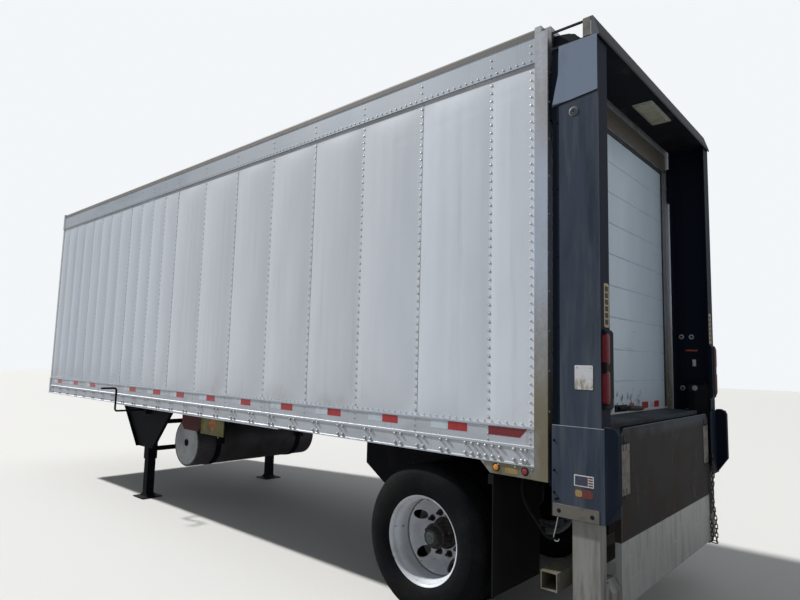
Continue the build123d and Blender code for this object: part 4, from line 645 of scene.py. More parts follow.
def tyreProfile():
    # half a section from the bead to the middle of the tread, mirrored, with four grooves
    wall = smoothLine([(0.2875, 0.090), (0.296, 0.106), (0.318, 0.122), (0.355, 0.1325), (0.398, 0.1365),
                       (0.435, 0.1325), (0.462, 0.1245), (0.478, 0.1165)], 26)
    rings = [(0.4885, 0.1080), (0.4965, 0.0990), (0.5035, 0.0890)]
    tread = []
    for groove in (0.068, 0.026):
        tread += [(0.509, groove + 0.008), (0.508, groove + 0.0065), (0.496, groove + 0.0045),
                  (0.496, groove - 0.0045), (0.508, groove - 0.0065), (0.509, groove - 0.008)]
    half = np.concatenate([wall, rings, tread])
    # thin raised rings on the wall
    for radius, height in ((0.345, 0.0013), (0.425, 0.0016), (0.452, 0.0012)):
        half[:26, 1] += height * np.exp(-((half[:26, 0] - radius) / 0.006) ** 2)
    mirrored = half[::-1] * (1, -1)
    inside = np.array([(0.2875, -0.088), (0.30, -0.080), (0.30, 0.080), (0.2875, 0.088)])
    return np.concatenate([half, mirrored, inside])


def wheelPlaced(shape, side, inset, outward):
    # from a shape round Z to the axle: Z becomes the way out of the trailer, or into it
    points, faces = shape
    y = sideY(side, inset) + outward * points[:, 2]
    faces = [loops[:, ::-1] for loops in faces] if outward > 0 else faces
    return np.stack([wheels["axleX"] + points[:, 0], y, wheels["axleZ"] + points[:, 1]], -1), faces


def rimFace(radius):
    # the disc's outer face: flat at the hub, then a smooth rise to the barrel
    t = np.clip((radius - 0.158) / (0.262 - 0.158), 0, 1)
    return -0.155 + 0.100 * (t ** 2 * (3 - 2 * t)) * 0.55 + 0.045 * t ** 3


def rimDisc():
    # five sectors, each made of rings that spread from its hand hole to its edge
    around, rings = 44, 10
    sector = 2 * np.pi / wheels["holes"]
    angle = np.linspace(0, 2 * np.pi, around, endpoint=False) + np.pi / around
    holeR = wheels["holeCircle"] + wheels["holeRadius"] * np.cos(angle)
    holeT = wheels["holeRadius"] * np.sin(angle) / wheels["holeCircle"]
    # the sector's edge: each direction pushed out to a rectangle of radius and angle
    dx, dy = np.cos(angle), np.sin(angle)
    room = np.where(dx > 0, wheels["discOuter"] - wheels["holeCircle"], wheels["holeCircle"] - wheels["discInner"])
    span = np.maximum(np.abs(dx) / room, np.abs(dy) / (sector / 2 * wheels["holeCircle"]))
    mix = np.linspace(0, 1, rings)[:, None] ** 1.3
    radius = holeR * (1 - mix) + (wheels["holeCircle"] + dx / span) * mix
    theta = holeT * (1 - mix) + dy / span / wheels["holeCircle"] * mix
    shapes = []
    for number in range(wheels["holes"]):
        turn = theta + math.radians(wheels["holeStart"]) + number * sector
        points = np.stack([radius * np.cos(turn), radius * np.sin(turn), rimFace(radius)], -1)
        shapes.append(gridShape(points, wrapColumns=True))
    return joined(shapes)


rimBarrel = np.array([
    (0.2665, -0.0080), (0.2635, 0.010), (0.2635, 0.030), (0.268, 0.052), (0.277, 0.066), (0.2825, 0.078),
    (0.2840, 0.092), (0.288, 0.1085), (0.295, 0.1145), (0.3000, 0.1180), (0.3025, 0.1160), (0.3010, 0.1085),
    (0.2945, 0.0990), (0.2868, 0.0900), (0.2868, 0.060), (0.276, 0.045), (0.270, 0.030), (0.270, -0.060),
    (0.2868, -0.075), (0.2868, -0.090), (0.2985, -0.0985), (0.3010, -0.1045), (0.2960, -0.1070), (0.2875, -0.1000),
    (0.283, -0.088), (0.2665, -0.070), (0.2650, -0.055)])
for sideName, side in bothSides:
    body = "wheels_" + sideName
    both = joined([wheelPlaced(lathe(tyreProfile(), wheels["steps"], loop=True), side, inset, side)
                   for inset in (wheels["outerInset"], wheels["innerInset"])])
    piece("tyres" + sideName.capitalize(), both, tyreRubber, body, slot="tyre", replaces=("tyres_" + sideName,),
          sharp=40)

    # the weld between disc and barrel rides with the barrel
    seam = np.array([(0.2665, -0.046), (0.2625, -0.050), (0.2600, -0.0545), (0.2620, -0.060), (0.2665, -0.062)])
    barrels, discs = [], []
    for inset, outward in ((wheels["outerInset"], side), (wheels["innerInset"], -side)):
        barrels += [wheelPlaced(lathe(loopLine, 96, loop=True), side, inset, outward)
                    for loopLine in (rimBarrel, seam)]
        discs.append(wheelPlaced(rimDisc(), side, inset, outward))
    piece("rims" + sideName.capitalize(), joined(barrels), wheelWhite, body, slot="wheel_white",
          replaces=("rims_" + sideName,), sharp=40)
    piece("rimDiscs" + sideName.capitalize(), joined(discs), wheelWhite, body, facing="asBuilt", slot="wheel_white",
          solid=0.0095, sharp=50, weld=0.0002)

    studAngle = np.arange(wheels["studs"]) * 2 * np.pi / wheels["studs"]
    ring = np.stack([np.cos(studAngle), np.sin(studAngle), np.zeros(wheels["studs"])], -1) * wheels["studCircle"]
    nut = lathe([(0.0185, 0.0), (0.0190, 0.002), (0.0190, 0.022), (0.0160, 0.0265), (0.0112, 0.0265),
                 (0.0112, 0.046), (0.0090, 0.048)], 6, closeStart=True, closeEnd=True)
    washer = lathe([(0.0235, 0.0), (0.0235, 0.004), (0.0195, 0.0055)], 16, closeStart=True, closeEnd=True)
    capBolts = ring[::2] * (0.0775 / wheels["studCircle"])
    hubShapes = [
        scattered(nut, ring + (0, 0, 0.0105)), scattered(washer, ring + (0, 0, 0.0105)),
        lathe([(0.1085, -0.009), (0.1085, 0.020), (0.104, 0.026), (0.097, 0.030), (0.089, 0.050), (0.083, 0.080),
               (0.081, 0.118), (0.086, 0.124), (0.088, 0.132), (0.086, 0.138), (0.070, 0.140), (0.066, 0.150),
               (0.060, 0.176), (0.055, 0.184), (0.050, 0.188), (0.040, 0.190)], 48, closeStart=True, closeEnd=True),
        lathe([(0.186, -0.250), (0.200, -0.250), (0.200, -0.075), (0.185, -0.068), (0.150, -0.060), (0.150, -0.012),
               (0.108, -0.0105), (0.108, -0.080), (0.186, -0.085)], 48, loop=True),
        scattered(lathe([(0.0075, -0.003), (0.0075, 0.004), (0.006, 0.005)], 6, closeStart=True, closeEnd=True),
                  capBolts + (0, 0, 0.139))]
    shape = joined([wheelPlaced(item, side, wheels["discInset"], side) for item in hubShapes])
    piece("hub" + sideName.capitalize(), shape, hubGrease, body, slot="hub", replaces=("hub_" + sideName,),
          sharp=35)
    window = lathe([(0.0405, 0.1885), (0.0400, 0.191), (0.034, 0.194), (0.020, 0.1965), (0.006, 0.197)], 24,
                   closeStart=True, closeEnd=True)
    piece("hubWindow" + sideName.capitalize(), wheelPlaced(window, side, wheels["discInset"], side), capGlass, body,
          slot="hub")
print("wheels made")


def slab(x, y, z, bevel=0.0):
    # a box between pairs of coordinates, whose long edges are cut back by bevel
    low, high = np.array([min(pair) for pair in (x, y, z)]), np.array([max(pair) for pair in (x, y, z)])
    if not bevel:
        return block(low, high)
    thin = int(np.argmin(high - low))
    flat = [axis for axis in range(3) if axis != thin]
    outline = outlineBox(*(high - low)[flat], min(bevel, 0.45 * (high - low)[flat].min()), 2)
    edge = min(bevel, (high - low)[thin] / 2) * 0.6
    return domed(outline, ((low + high) / 2)[flat], ((0, low[thin]), (0, high[thin] - edge), (edge, high[thin])),
                 thin)


def placed(shape, axis, place):
    points, faces = turned(shape, axis)
    return points + np.asarray(place, float), faces


roundBolt = lathe([(0.015, 0), (0.015, 0.0022), (0.0105, 0.0028), (0.0100, 0.0068), (0.0080, 0.0088)], 12, True,
                  True)
smallBolt = lathe([(0.008, 0), (0.008, 0.0015), (0.0058, 0.002), (0.0052, 0.0048)], 8, True, True)

# Lamps: stadium tail lamps in rubber rings, round markers, a label above and the plates beside them
lamps = {"centre": 0.0450, "face": -4.5545, "width": 0.052, "baseCentre": 0.0640, "baseWidth": 0.086,
         "levels": ((1.522, 1.710), (1.742, 1.922)),
         "label": (0.058, 0.129, 1.958, 2.214), "markerRed": -4.058, "markerAmber": -3.856, "markerZ": 1.0915,
         "markerPlate": (-4.010, -3.920, 1.066, 1.098)}
for sideName, side in bothSides:
    lenses = []
    back, proud = trailer["columnRear"], lamps["face"]
    for low, high in lamps["levels"]:
        centre = (sideY(side, lamps["centre"]), (low + high) / 2)
        lenses.append(domed(outlineBox(lamps["width"], high - low, 0.0255, 7), centre,
                            ((0, back), (0, proud - 0.0030), (0.003, proud - 0.0072), (0.010, proud - 0.0100),
                             (0.022, proud - 0.0115)), 0))
    piece("tailLenses_" + sideName, joined(lenses), lensDeep, slot="lens", replaces=("tail_lamps",), sharp=30)
    low, high = lamps["levels"][0][0] - 0.010, lamps["levels"][1][1] + 0.014
    base = domed(outlineBox(lamps["baseWidth"], high - low, 0.040, 7),
                 (sideY(side, lamps["baseCentre"]), (low + high) / 2),
                 ((0, back), (0, proud - 0.0020), (0.004, proud - 0.0055), (0.010, proud - 0.0055)), 0)
    piece("tailRings_" + sideName, base, rubber, slot="rubber")
    foot = [(back, 1.492), (back, 1.5355), (proud, 1.5495), (proud, 1.505), (back - 0.008, 1.492)]
    piece("lampFoot_" + sideName, plateShape(foot, sideY(side, 0.034), sideY(side, 0.134), 1), soffitBlack,
          slot="charcoal")
    near, far, low, high = lamps["label"]
    label = slab((back, back - 0.0010), (sideY(side, near), sideY(side, far)), (low, high), 0.012)
    piece("lampLabel_" + sideName, label, plateYellow, slot="rubber")
    bars = [slab((back - 0.0010, back - 0.0014), (sideY(side, near + 0.013), sideY(side, far - 0.013)),
                 (z, z + 0.030), 0.004) for z in np.arange(low + 0.016, high - 0.03, 0.0385)]
    piece("lampLabelCore_" + sideName, joined(bars), doorSeal, slot="rubber")

    # markers on the bracket
    face = sideY(side, 0.008)
    dome = lathe([(0.0195, 0), (0.0195, 0.0030), (0.0180, 0.0052), (0.0130, 0.0068), (0.0060, 0.0075)], 24, True,
                 True)
    rim = lathe([(0.0255, 0), (0.0255, 0.0018), (0.0232, 0.0038), (0.0196, 0.0040), (0.0193, 0)], 24, loop=True)
    for key, paint, slotName in (("markerRed", lensRed, "lens"), ("markerAmber", lensAmber, "amber_lens")):
        place = (lamps[key], face, lamps["markerZ"])
        piece(key + "_" + sideName, placed(dome, (0, side, 0), place), paint, slot=slotName,
              replaces=("marker_lamps",) if key == "markerAmber" else ())
        piece(key + "Rim_" + sideName, placed(rim, (0, side, 0), place), rubber, slot="rubber")
    x0, x1, z0, z1 = lamps["markerPlate"]
    piece("markerPlate_" + sideName, slab((x0, x1), (face, face + side * 0.0012), (z0, z1), 0.004), plateYellow,
          slot="amber_lens")
    rows("bracketBolts_" + sideName, smallBolt, (0, side, 0),
         [(x, face, 1.112) for x in (-4.105, -3.99, -3.87, -3.76)], boltMetal, slot="galvanised")
print("lamps made")

# Columns: a painted shadow along the flap plate's edge, ring eye, blank plate, beads, bolts, and what is inside the
# channel
columns = {"face": 0.004, "strip": 0.014, "eye": (-4.382, 3.265), "plate": (-4.489, -4.380, 1.600, 1.738),
           "innerBolts": ((-4.282, 2.022), (-4.282, 1.566)), "flush": (-4.362, 2.021), "runner": 0.110}
for sideName, side in bothSides:
    face = sideY(side, columns["face"])
    outward = (0, side, 0)
    # a thin black plate under the flap plate's lower edge is painted shadow
    edge = ((-4.530, 3.3655), (-4.243, 3.332), (-4.243, 3.322), (-4.530, 3.356))
    piece("flapShade_" + sideName, plateShape(edge, face, face + side * 0.0006, 1), soffitBlack, slot="charcoal")
    eye = lathe([(0.0300, 0), (0.0300, 0.0016), (0.0270, 0.0024), (0.0235, 0.0036), (0.0165, 0.0036),
                 (0.0150, 0.0028), (0.0145, 0)], 28, loop=True)
    nut = lathe([(0.0150, 0), (0.0150, 0.0030), (0.0125, 0.0040), (0.0085, 0.0038), (0.0080, 0)], 24, loop=True)
    spot = (columns["eye"][0], face, columns["eye"][1])
    piece("ringEye_" + sideName, placed(eye, outward, spot), stripSteel, slot="galvanised")
    piece("ringNut_" + sideName, placed(nut, outward, spot), brightSteel, slot="galvanised")
    x0, x1, z0, z1 = columns["plate"]
    piece("reflector_" + sideName, slab((x0, x1), (face, face + side * 0.0018), (z0, z1), 0.006), plateWorn,
          slot="white")
    spots = [(x, face - side * 0.0024, z) for x in (x0 + 0.014, x1 - 0.014) for z in (z0 + 0.014, z1 - 0.014)]
    rows("reflectorRivets_" + sideName, smallBolt, outward, spots, boltMetal, slot="galvanised")
    # pale beads along the channel's two outer edges and round bolts where the column meets the frame
    beads = [tube(((x, sideY(side, inset), 0.885), (x, sideY(side, inset), 3.32)), 0.0022, 6)
             for x, inset in ((-4.5325, 0.0060), (-4.2895, 0.0065))]
    piece("columnBeads_" + sideName, joined(beads), flapPaint, slot="charcoal")
    strip = sideY(side, columns["strip"])
    places = [(-4.263, strip, z) for z in np.arange(1.55, 3.25, 0.42)]
    rows("columnBolts_" + sideName, smallBolt, outward, places, blackSteel, slot="charcoal")

    # inside of the channel: the web's pale round bolts, an orange mark, a small blank label and a dark lever ring
    web = sideY(side, columns["face"] + 0.008)
    inward = (0, -side, 0)
    cap = lathe([(0.0225, 0), (0.0225, 0.0030), (0.0190, 0.0060), (0.0105, 0.0060), (0.0100, 0.0040)], 20, True,
                True)
    spots = [(x, sideY(side, 0.022), z) for x, z in columns["innerBolts"]]
    rows("webCaps_" + sideName, cap, inward, spots, paleCap, slot="galvanised")
    core = lathe([(0.0098, 0.0038), (0.0098, 0.0046), (0.0080, 0.0050)], 12, True, True)
    rows("webCores_" + sideName, core, inward, spots, rubber, slot="rubber")
    # the guides pass this one, so it is flush
    flush = lathe([(0.0225, 0), (0.0225, 0.00010), (0.0105, 0.00012), (0.0100, 0)], 20, loop=True)
    piece("webFlush_" + sideName, placed(flush, inward, (columns["flush"][0], web, columns["flush"][1])), paleCap,
          slot="galvanised")
    leg = sideY(side, columns["runner"])
    ringAngle = np.linspace(0, 2 * np.pi, 24)
    lever = [tube(along(-4.372 + 0.024 * np.cos(ringAngle), leg - side * 0.011, 1.514 + 0.024 * np.sin(ringAngle)),
                  0.007, 8),
             tube(((-4.372, leg - side * 0.011, 1.492), (-4.375, leg - side * 0.016, 1.42),
                   (-4.373, leg - side * 0.012, 1.34)),
                  (0.010, 0.009, 0.007), 8),
             placed(lathe([(0.019, 0), (0.019, 0.010), (0.013, 0.014)], 16, True, True), inward,
                    (-4.372, leg, 1.514))]
    piece("runnerLever_" + sideName, joined(lever), blackSteel, "lift", slot="charcoal")
    piece("runnerCap_" + sideName, placed(cap, inward, (-4.404, leg, 1.572)), paleCap, "lift", slot="galvanised")
    piece("webMark_" + sideName, slab((-4.410, -4.310), (web, web - side * 0.0006), (1.893, 1.907), 0.004),
          markOrange, slot="amber_lens")
    piece("webLabel_" + sideName, slab((-4.394, -4.366), (web, web - side * 0.0006), (1.760, 1.820), 0.004),
          plateBlank, slot="white")
print("columns detailed")

# Lower covers: bright ledge and beads on both sides; foot strip, blank stickers and bolts on the left
covers = {"foot": (-4.520, -4.244, 0.874, 0.946), "holes": ((-4.282, 0.908), (-4.480, 0.905)),
          "sticker": (-4.490, -4.374, 1.061, 1.124), "tag": (-4.485, -4.378, 1.000, 1.045)}
for sideName, side in bothSides:
    face = sideY(side, 0.0)
    outward = (0, side, 0)
    x0, x1, z0, z1 = covers["foot"]
    if side > 0:
        piece("footStrip_left", slab((x0, x1), (face, face + 0.0022), (z0, z1), 0.004), stripSteel, slot="bare_alu")
        # the foot strip's two holes are black discs: painted shade inside them
        hole = lathe([(0.0125, 0), (0.0125, 0.0006), (0.0110, 0.0010)], 16, True, True)
        rows("footHoles_left", hole, outward, [(x, face + 0.0021, z) for x, z in covers["holes"]], soffitBlack,
             slot="charcoal")
        x0, x1, z0, z1 = covers["sticker"]
        split = x0 + 0.3 * (x1 - x0)
        piece("sticker_left", slab((x0, x1), (face, face + 0.0006), (z0, z1), 0.003), plateBlank, slot="white")
        piece("stickerCore_left", slab((split, x1 - 0.006), (face + 0.0005, face + 0.0010),
                                       (z0 + 0.006, z1 - 0.006), 0.002),
              labelDark, slot="charcoal")
        stripes = [slab((x0 + 0.005, split - 0.003), (face + 0.0005, face + 0.0010), (z, z + 0.0085), 0.001)
                   for z in np.linspace(z0 + 0.006, z1 - 0.0145, 4)]
        piece("stickerStripes_left", joined(stripes), labelRed, slot="lens")
        x0, x1, z0, z1 = covers["tag"]
        piece("tag_left", slab((x0, x1), (face, face + 0.0006), (z0, z1), 0.016), labelRed, slot="lens")
        piece("tagEnd_left", slab((x1 - 0.044, x1 - 0.003), (face + 0.0005, face + 0.0010),
                                  (z0 + 0.004, z1 - 0.004), 0.012),
              plateYellow, slot="amber_lens")
        rows("coverBolts_left", smallBolt, outward,
             [(-4.252, face, z) for z in (1.005, 1.13, 1.30)] + [(-4.262, face, 0.968), (-4.275, face, 0.975)],
             blackSteel, slot="charcoal")
    top = trailer["coverTop"]
    ledge = plateShape(((-4.240, face), (-4.548, face), (-4.548, face - side * 0.014),
                        (-4.240, face - side * 0.014)),
                       top, top + 0.0022, 2)
    piece("coverLedge_" + sideName, ledge, brightSteel, slot="charcoal")
    bead = tube(((-4.549, face - side * 0.0024, 0.95), (-4.549, face - side * 0.0024, 1.395)), 0.0024, 6)
    finLine = tube(((-4.556, face - side * 0.0022, 1.3986), (-4.590, face - side * 0.0022, 1.3986)), 0.0022, 6)
    piece("coverBeads_" + sideName, joined([bead, finLine]), flapPaint, slot="charcoal")
print("covers detailed")

# Rear door: seals, jambs, red squares along the sill, latch strap, header strip and bolts
rear = {"face": -4.190, "low": 1.392, "high": 3.516, "opening": 0.150,
        "squares": ((-0.415, -0.310), (-0.730, -0.590), (-1.000, -0.880)), "dots": (-0.52, -0.80, -0.46, -0.84)}
doorLeft, doorRight = sideY(1, rear["opening"]), sideY(-1, rear["opening"])
doorPlane = (rear["face"] - 0.008, rear["face"])
seals = [slab(doorPlane, (sideY(side, rear["opening"] + 0.066), sideY(side, rear["opening"] + 0.080)),
              (rear["low"] + 0.014, rear["high"]), 0.003) for side in (1, -1)]
seals.append(slab(doorPlane, (doorLeft, doorRight), (rear["high"] - 0.022, rear["high"]), 0.003))
piece("doorSeals", joined(seals), doorSeal, slot="rubber")
piece("sillSeal", slab((rear["face"] - 0.009, rear["face"]), (doorLeft - 0.02, doorRight + 0.02),
                       (rear["low"] + 0.0015, rear["low"] + 0.013), 0.002), noseWhite, slot="white")
squares = [slab((rear["face"], rear["face"] - 0.0008), span, (1.410, 1.462), 0.003) for span in rear["squares"]]
piece("doorSquares", joined(squares), tapeRed, slot="lens")
rows("doorDots", smallBolt, (-1, 0, 0), [(rear["face"], y, z) for y in rear["dots"] for z in (1.425, 1.447)],
     boltMetal, slot="galvanised")
# the strap's (Y, Z, half width)
strap = np.array([(-0.130, 1.431, 0.016), (-0.22, 1.430, 0.020), (-0.34, 1.424, 0.020), (-0.45, 1.418, 0.019),
                  (-0.55, 1.414, 0.016), (-0.612, 1.412, 0.004)])
strapEdge = np.stack([along(-4.2045, strap[:, 0], strap[:, 1] + way * strap[:, 2]) for way in (-1, 1)], 1)
piece("latchStrap", gridShape(strapEdge), doorSeal, facing=(-1, 0, 0), slot="rubber", solid=0.004)
jambs = [slab((rear["face"] - 0.0005, rear["face"] - 0.0165),
              [sideY(side, rear["opening"] + reach) for reach in (0, 0.066)],
              (rear["low"] + 0.014, rear["high"]), 0.004) for side in (1, -1)]
piece("doorJambs", joined(jambs), galvanised, slot="galvanised")
jambBolts = [(rear["face"] - 0.0165, sideY(side, rear["opening"] + 0.033), z) for side in (1, -1)
             for z in np.arange(1.50, 3.5, 0.21)]
rows("jambBolts", smallBolt, (-1, 0, 0), jambBolts, boltMetal, slot="galvanised")
header = slab((-4.2118, -4.2135), (doorLeft - 0.004, doorRight + 0.004), (3.5235, 3.6815), 0.003)
piece("headerStrip", header, headerBronze, slot="galvanised")
frameBolts = [(-4.212, sideY(side, inset), z) for side in (1, -1) for inset in (0.020, 0.128)
              for z in np.arange(1.46, 3.5, 0.24)]
rows("postBolts", smallBolt, (-1, 0, 0), frameBolts, boltMetal, slot="galvanised")
sillBolts = [(-4.212, y, z) for y in np.linspace(sideY(-1, 0.3), sideY(1, 0.3), 14) for z in (1.16, 1.20)]
rows("sillBolts", smallBolt, (-1, 0, 0), sillBolts, boltMetal, slot="galvanised")
print("rear detailed")

# Platform chain: the CAD links' places with round wire. Each strand climbs by its pitch and leans by the listed turns
chain = {"wire": 0.004, "bend": 0.0095, "eye": 0.034, "jointEye": 0.0404, "pitch": 0.0335, "foot": 0.3713,
         "y": -1.1285, "hook": -4.545, "strand": -4.5766,
         "turns": (0, 0, 0, -2, -5, -7, -8, -7, -5, -3, 0, 3, 4, 4, 3, 2, 1, 0)}


def linkShape(eye, flatX, lean, place):
    # a stadium of wire in the X-Z plane (or Y-Z), leaned about Y and moved to its place
    angle = np.arange(24) * 2 * np.pi / 24 + np.pi / 24
    straight = (eye / 2 + chain["wire"] - chain["bend"]) * np.sign(np.sin(angle))
    outward = np.stack([np.cos(angle), np.zeros(24), np.sin(angle)], -1)
    line = outward * chain["bend"] + np.stack([straight * 0, straight * 0, straight], -1)
    around = (np.arange(8) * 2 * np.pi / 8)[None, :, None]
    section = np.cos(around) * outward[:, None] + np.sin(around) * np.array((0, 1, 0))
    points = line[:, None] + chain["wire"] * section
    if flatX:
        points = points[..., [1, 0, 2]]
    turn = math.radians(lean)
    x, z = points[..., 0].copy(), points[..., 2].copy()
    points[..., 0] = x * math.cos(turn) - z * math.sin(turn)
    points[..., 2] = x * math.sin(turn) + z * math.cos(turn)
    return gridShape(points + np.asarray(place), wrapRows=True, wrapColumns=True)


turns = np.radians(np.array(chain["turns"], float))
longX = chain["strand"] - np.concatenate([[0], np.cumsum(chain["pitch"] * np.sin(turns))])
longZ = chain["foot"] + np.concatenate([[0], np.cumsum(chain["pitch"] * np.cos(turns))])
links = [linkShape(chain["eye"], number % 2 == 0, lean, (x, chain["y"], z))
         for number, (x, z, lean) in enumerate(zip(longX, longZ, (0,) + chain["turns"]))]
shortZ = chain["foot"] + np.arange(5) * chain["pitch"]
links += [linkShape(chain["eye"], number % 2 == 0, 0, (chain["hook"], chain["y"], z))
          for number, z in enumerate(shortZ)]
links.append(linkShape(chain["jointEye"], False, 90, ((chain["hook"] + chain["strand"]) / 2, chain["y"], 0.3491)))
piece("chainLinks", joined(links), chainSteel, "lift", slot="chain", replaces=("platform_chain",), sharp=60)
print("chain made")

# Platform: worn strips over the raised bars, with a pair of dark slots near each end
leaf = {"rear": -4.5385, "core": -4.531, "span": (0.642, 0.772), "low": 0.985, "high": 1.277,
        "slotsY": (0.744, 0.697), "slotsZ": (1.006, 1.258)}
for sideName, side in bothSides:
    mirrored = [middleY + side * (y - middleY) for y in leaf["span"]]
    piece("leafStrip_" + sideName, slab((leaf["core"], leaf["rear"]), mirrored, (leaf["low"], leaf["high"]), 0.003),
          stripSteel, "platform", slot="deck_steel")
    # the slots are dark slabs on the strip: painted shade inside them
    slots = [slab((leaf["rear"] + 0.001, leaf["rear"] - 0.0003),
                  [middleY + side * (y + half - middleY) for half in (-0.007, 0.007)], (z - 0.017, z + 0.017),
                  0.003)
             for y in leaf["slotsY"] for z in leaf["slotsZ"]]
    piece("leafSlots_" + sideName, joined(slots), doorSeal, "platform", slot="deck_steel")
edgeLine = [(sideY(1, 0.277), 0.73), (sideY(1, 0.277), 1.326), (sideY(1, 0.322), 1.3705),
            (sideY(-1, 0.322), 1.3705), (sideY(-1, 0.277), 1.326), (sideY(-1, 0.277), 0.73)]
piece("leafEdge", tube(np.insert(edgeLine, 0, -4.5355, axis=1), 0.0022, 6), flapPaint, "platform",
      slot="deck_steel")
print("platform detailed")

# Fuel tank: dark barrel with rolled rims, pale end discs with two rings and a square plug
tank = {"x": 0.593, "z": 0.728}
barrel = lathe([(0.240, -0.842), (0.252, -0.849), (0.262, -0.849), (0.2690, -0.842), (0.2698, -0.830),
                (0.2698, -0.62), (0.2698, -0.3), (0.2698, 0), (0.2698, 0.3), (0.2698, 0.62), (0.2698, 0.830),
                (0.2690, 0.842), (0.262, 0.849), (0.252, 0.849), (0.240, 0.842)], 72, True, True)
piece("tankBarrel", placed(barrel, (0, 1, 0), (tank["x"], middleY, tank["z"])), tankDark, slot="bare_alu",
      replaces=("fuel_tank",), sharp=40)
disc = [(0.2505, -0.008), (0.2505, 0.004), (0.244, 0.0055), (0.236, 0.0015), (0.206, 0.0008), (0.200, 0.0045),
        (0.190, 0.0048), (0.184, 0.0012), (0.120, 0.0016), (0.060, 0.0020), (0.020, 0.0022)]
ends, plugs = [], []
for sideName, side in bothSides:
    place = (tank["x"], middleY + side * 0.8425, tank["z"])
    ends.append(placed(lathe(disc, 64, True, True), (0, side, 0), place))
    plugs += [placed(lathe([(0.040, 0), (0.040, 0.008), (0.034, 0.0105)], 24, True, True), (0, side, 0), place),
              placed(lathe([(0.021, 0.010), (0.021, 0.0145), (0.018, 0.0155)], 4, True, True), (0, side, 0), place)]
piece("tankEnds", joined(ends), tankAlu, slot="bare_alu", sharp=30)
piece("tankPlugs", joined(plugs), blackSteel, slot="black_steel")
straps = [placed(roundBolt, (0, np.sign(y - middleY), 0), (x, y, z)) for y in (middleY - 0.621, middleY + 0.621)
          for x in (0.292, 0.895) for z in (0.80, 0.98, 1.09)]
piece("strapBolts", joined(straps), boltMetal, slot="galvanised")
for sideName, side in bothSides:
    face = sideY(side, 0.255)
    turn = np.arange(4) * np.pi / 2
    diamond = np.stack([-0.142 + 0.078 * np.cos(turn), 1.012 + 0.078 * np.sin(turn)], -1)
    piece("placardDiamond_" + sideName, plateShape(diamond, face, face + side * 0.0010, 1), signOrange,
          slot="sign_holder")
    clips = [slab((x - 0.012, x + 0.012), (face, face + side * 0.003), (z - 0.008, z + 0.008), 0.003)
             for x, z in ((-0.142, 1.122), (-0.142, 0.920), (-0.335, 1.02), (0.052, 1.02))]
    piece("placardClips_" + sideName, joined(clips), galvanised, slot="galvanised")
print("tank made")

# Running gear: U-bolts over the axle, air lines along the frame, flap bolts, the crank and the leg bolts
gear = {"axleTop": 0.590, "axleBottom": 0.425, "seats": (0.270, 0.330, -0.603, -0.663), "lineY": (0.345, 0.362)}
clamps = []
for y in gear["seats"]:
    for x in (-3.180, -3.300):
        clamps += [tube(((x, y, gear["axleBottom"] - 0.030), (x, y, gear["axleTop"] + 0.010)), 0.009, 8),
                   placed(lathe([(0.016, 0), (0.016, 0.014), (0.012, 0.017)], 6, True, True), (0, 0, -1),
                          (x, y, gear["axleBottom"] - 0.004))]
    clamps.append(tube(((-3.180, y, gear["axleTop"] + 0.008), (-3.205, y, gear["axleTop"] + 0.024),
                        (-3.275, y, gear["axleTop"] + 0.024), (-3.300, y, gear["axleTop"] + 0.008)), 0.009, 8))
piece("axleClamps", joined(clamps), blackSteel, slot="black_steel")
lineRoute = smoothLine(((4.0, 1.100), (2.6, 1.020), (1.9, 1.095), (0.9, 1.100), (-0.6, 1.098), (-1.9, 1.100)), 60)
lines = [tube(np.insert(lineRoute, 1, y, axis=1), 0.0065, 8) for y in gear["lineY"]]
piece("airLines", joined(lines), rubber, slot="rubber")
flapBolts = [(-3.832, sideY(side, inset), 1.000) for side in (1, -1) for inset in np.linspace(0.05, 0.50, 7)]
rows("flapBolts", roundBolt, (-1, 0, 0), flapBolts, blackSteel, slot="rubber")
crank = {"x": 1.348, "z": 1.060, "rise": 0.270, "start": 0.858, "elbow": 1.2095, "tip": 1.3855, "bend": 0.028,
         "radius": 0.0115}
bendAngle = np.linspace(0, np.pi / 2, 7)
elbowY = crank["elbow"] - crank["bend"] + crank["bend"] * np.sin(bendAngle)
elbowZ = crank["bend"] * (1 - np.cos(bendAngle))
elbow = np.stack([elbowY, elbowZ], -1)
crankLine = np.concatenate([[(crank["start"], 0)], elbow, ((2 * crank["elbow"], crank["rise"]) - elbow)[::-1],
                            [(crank["tip"], crank["rise"])]])
crankShape = tube(np.insert(crankLine + (0, crank["z"]), 0, crank["x"], axis=1), crank["radius"], 12)
gearBox = slab((1.288, 1.408), (0.7985, 0.858), (1.0102, 1.1098), 0.012)
piece("crank", joined([crankShape, gearBox]), blackSteel, slot="black_steel", replaces=("landing_crank",))
legBolts = [placed(roundBolt, (0, side, 0), (x, middleY + side * 0.998, 1.075)) for side in (1, -1)
            for x in (0.80, 1.02, 1.65, 1.88)]
piece("legBolts", joined(legBolts), blackSteel, slot="black_steel")
print("running gear detailed")

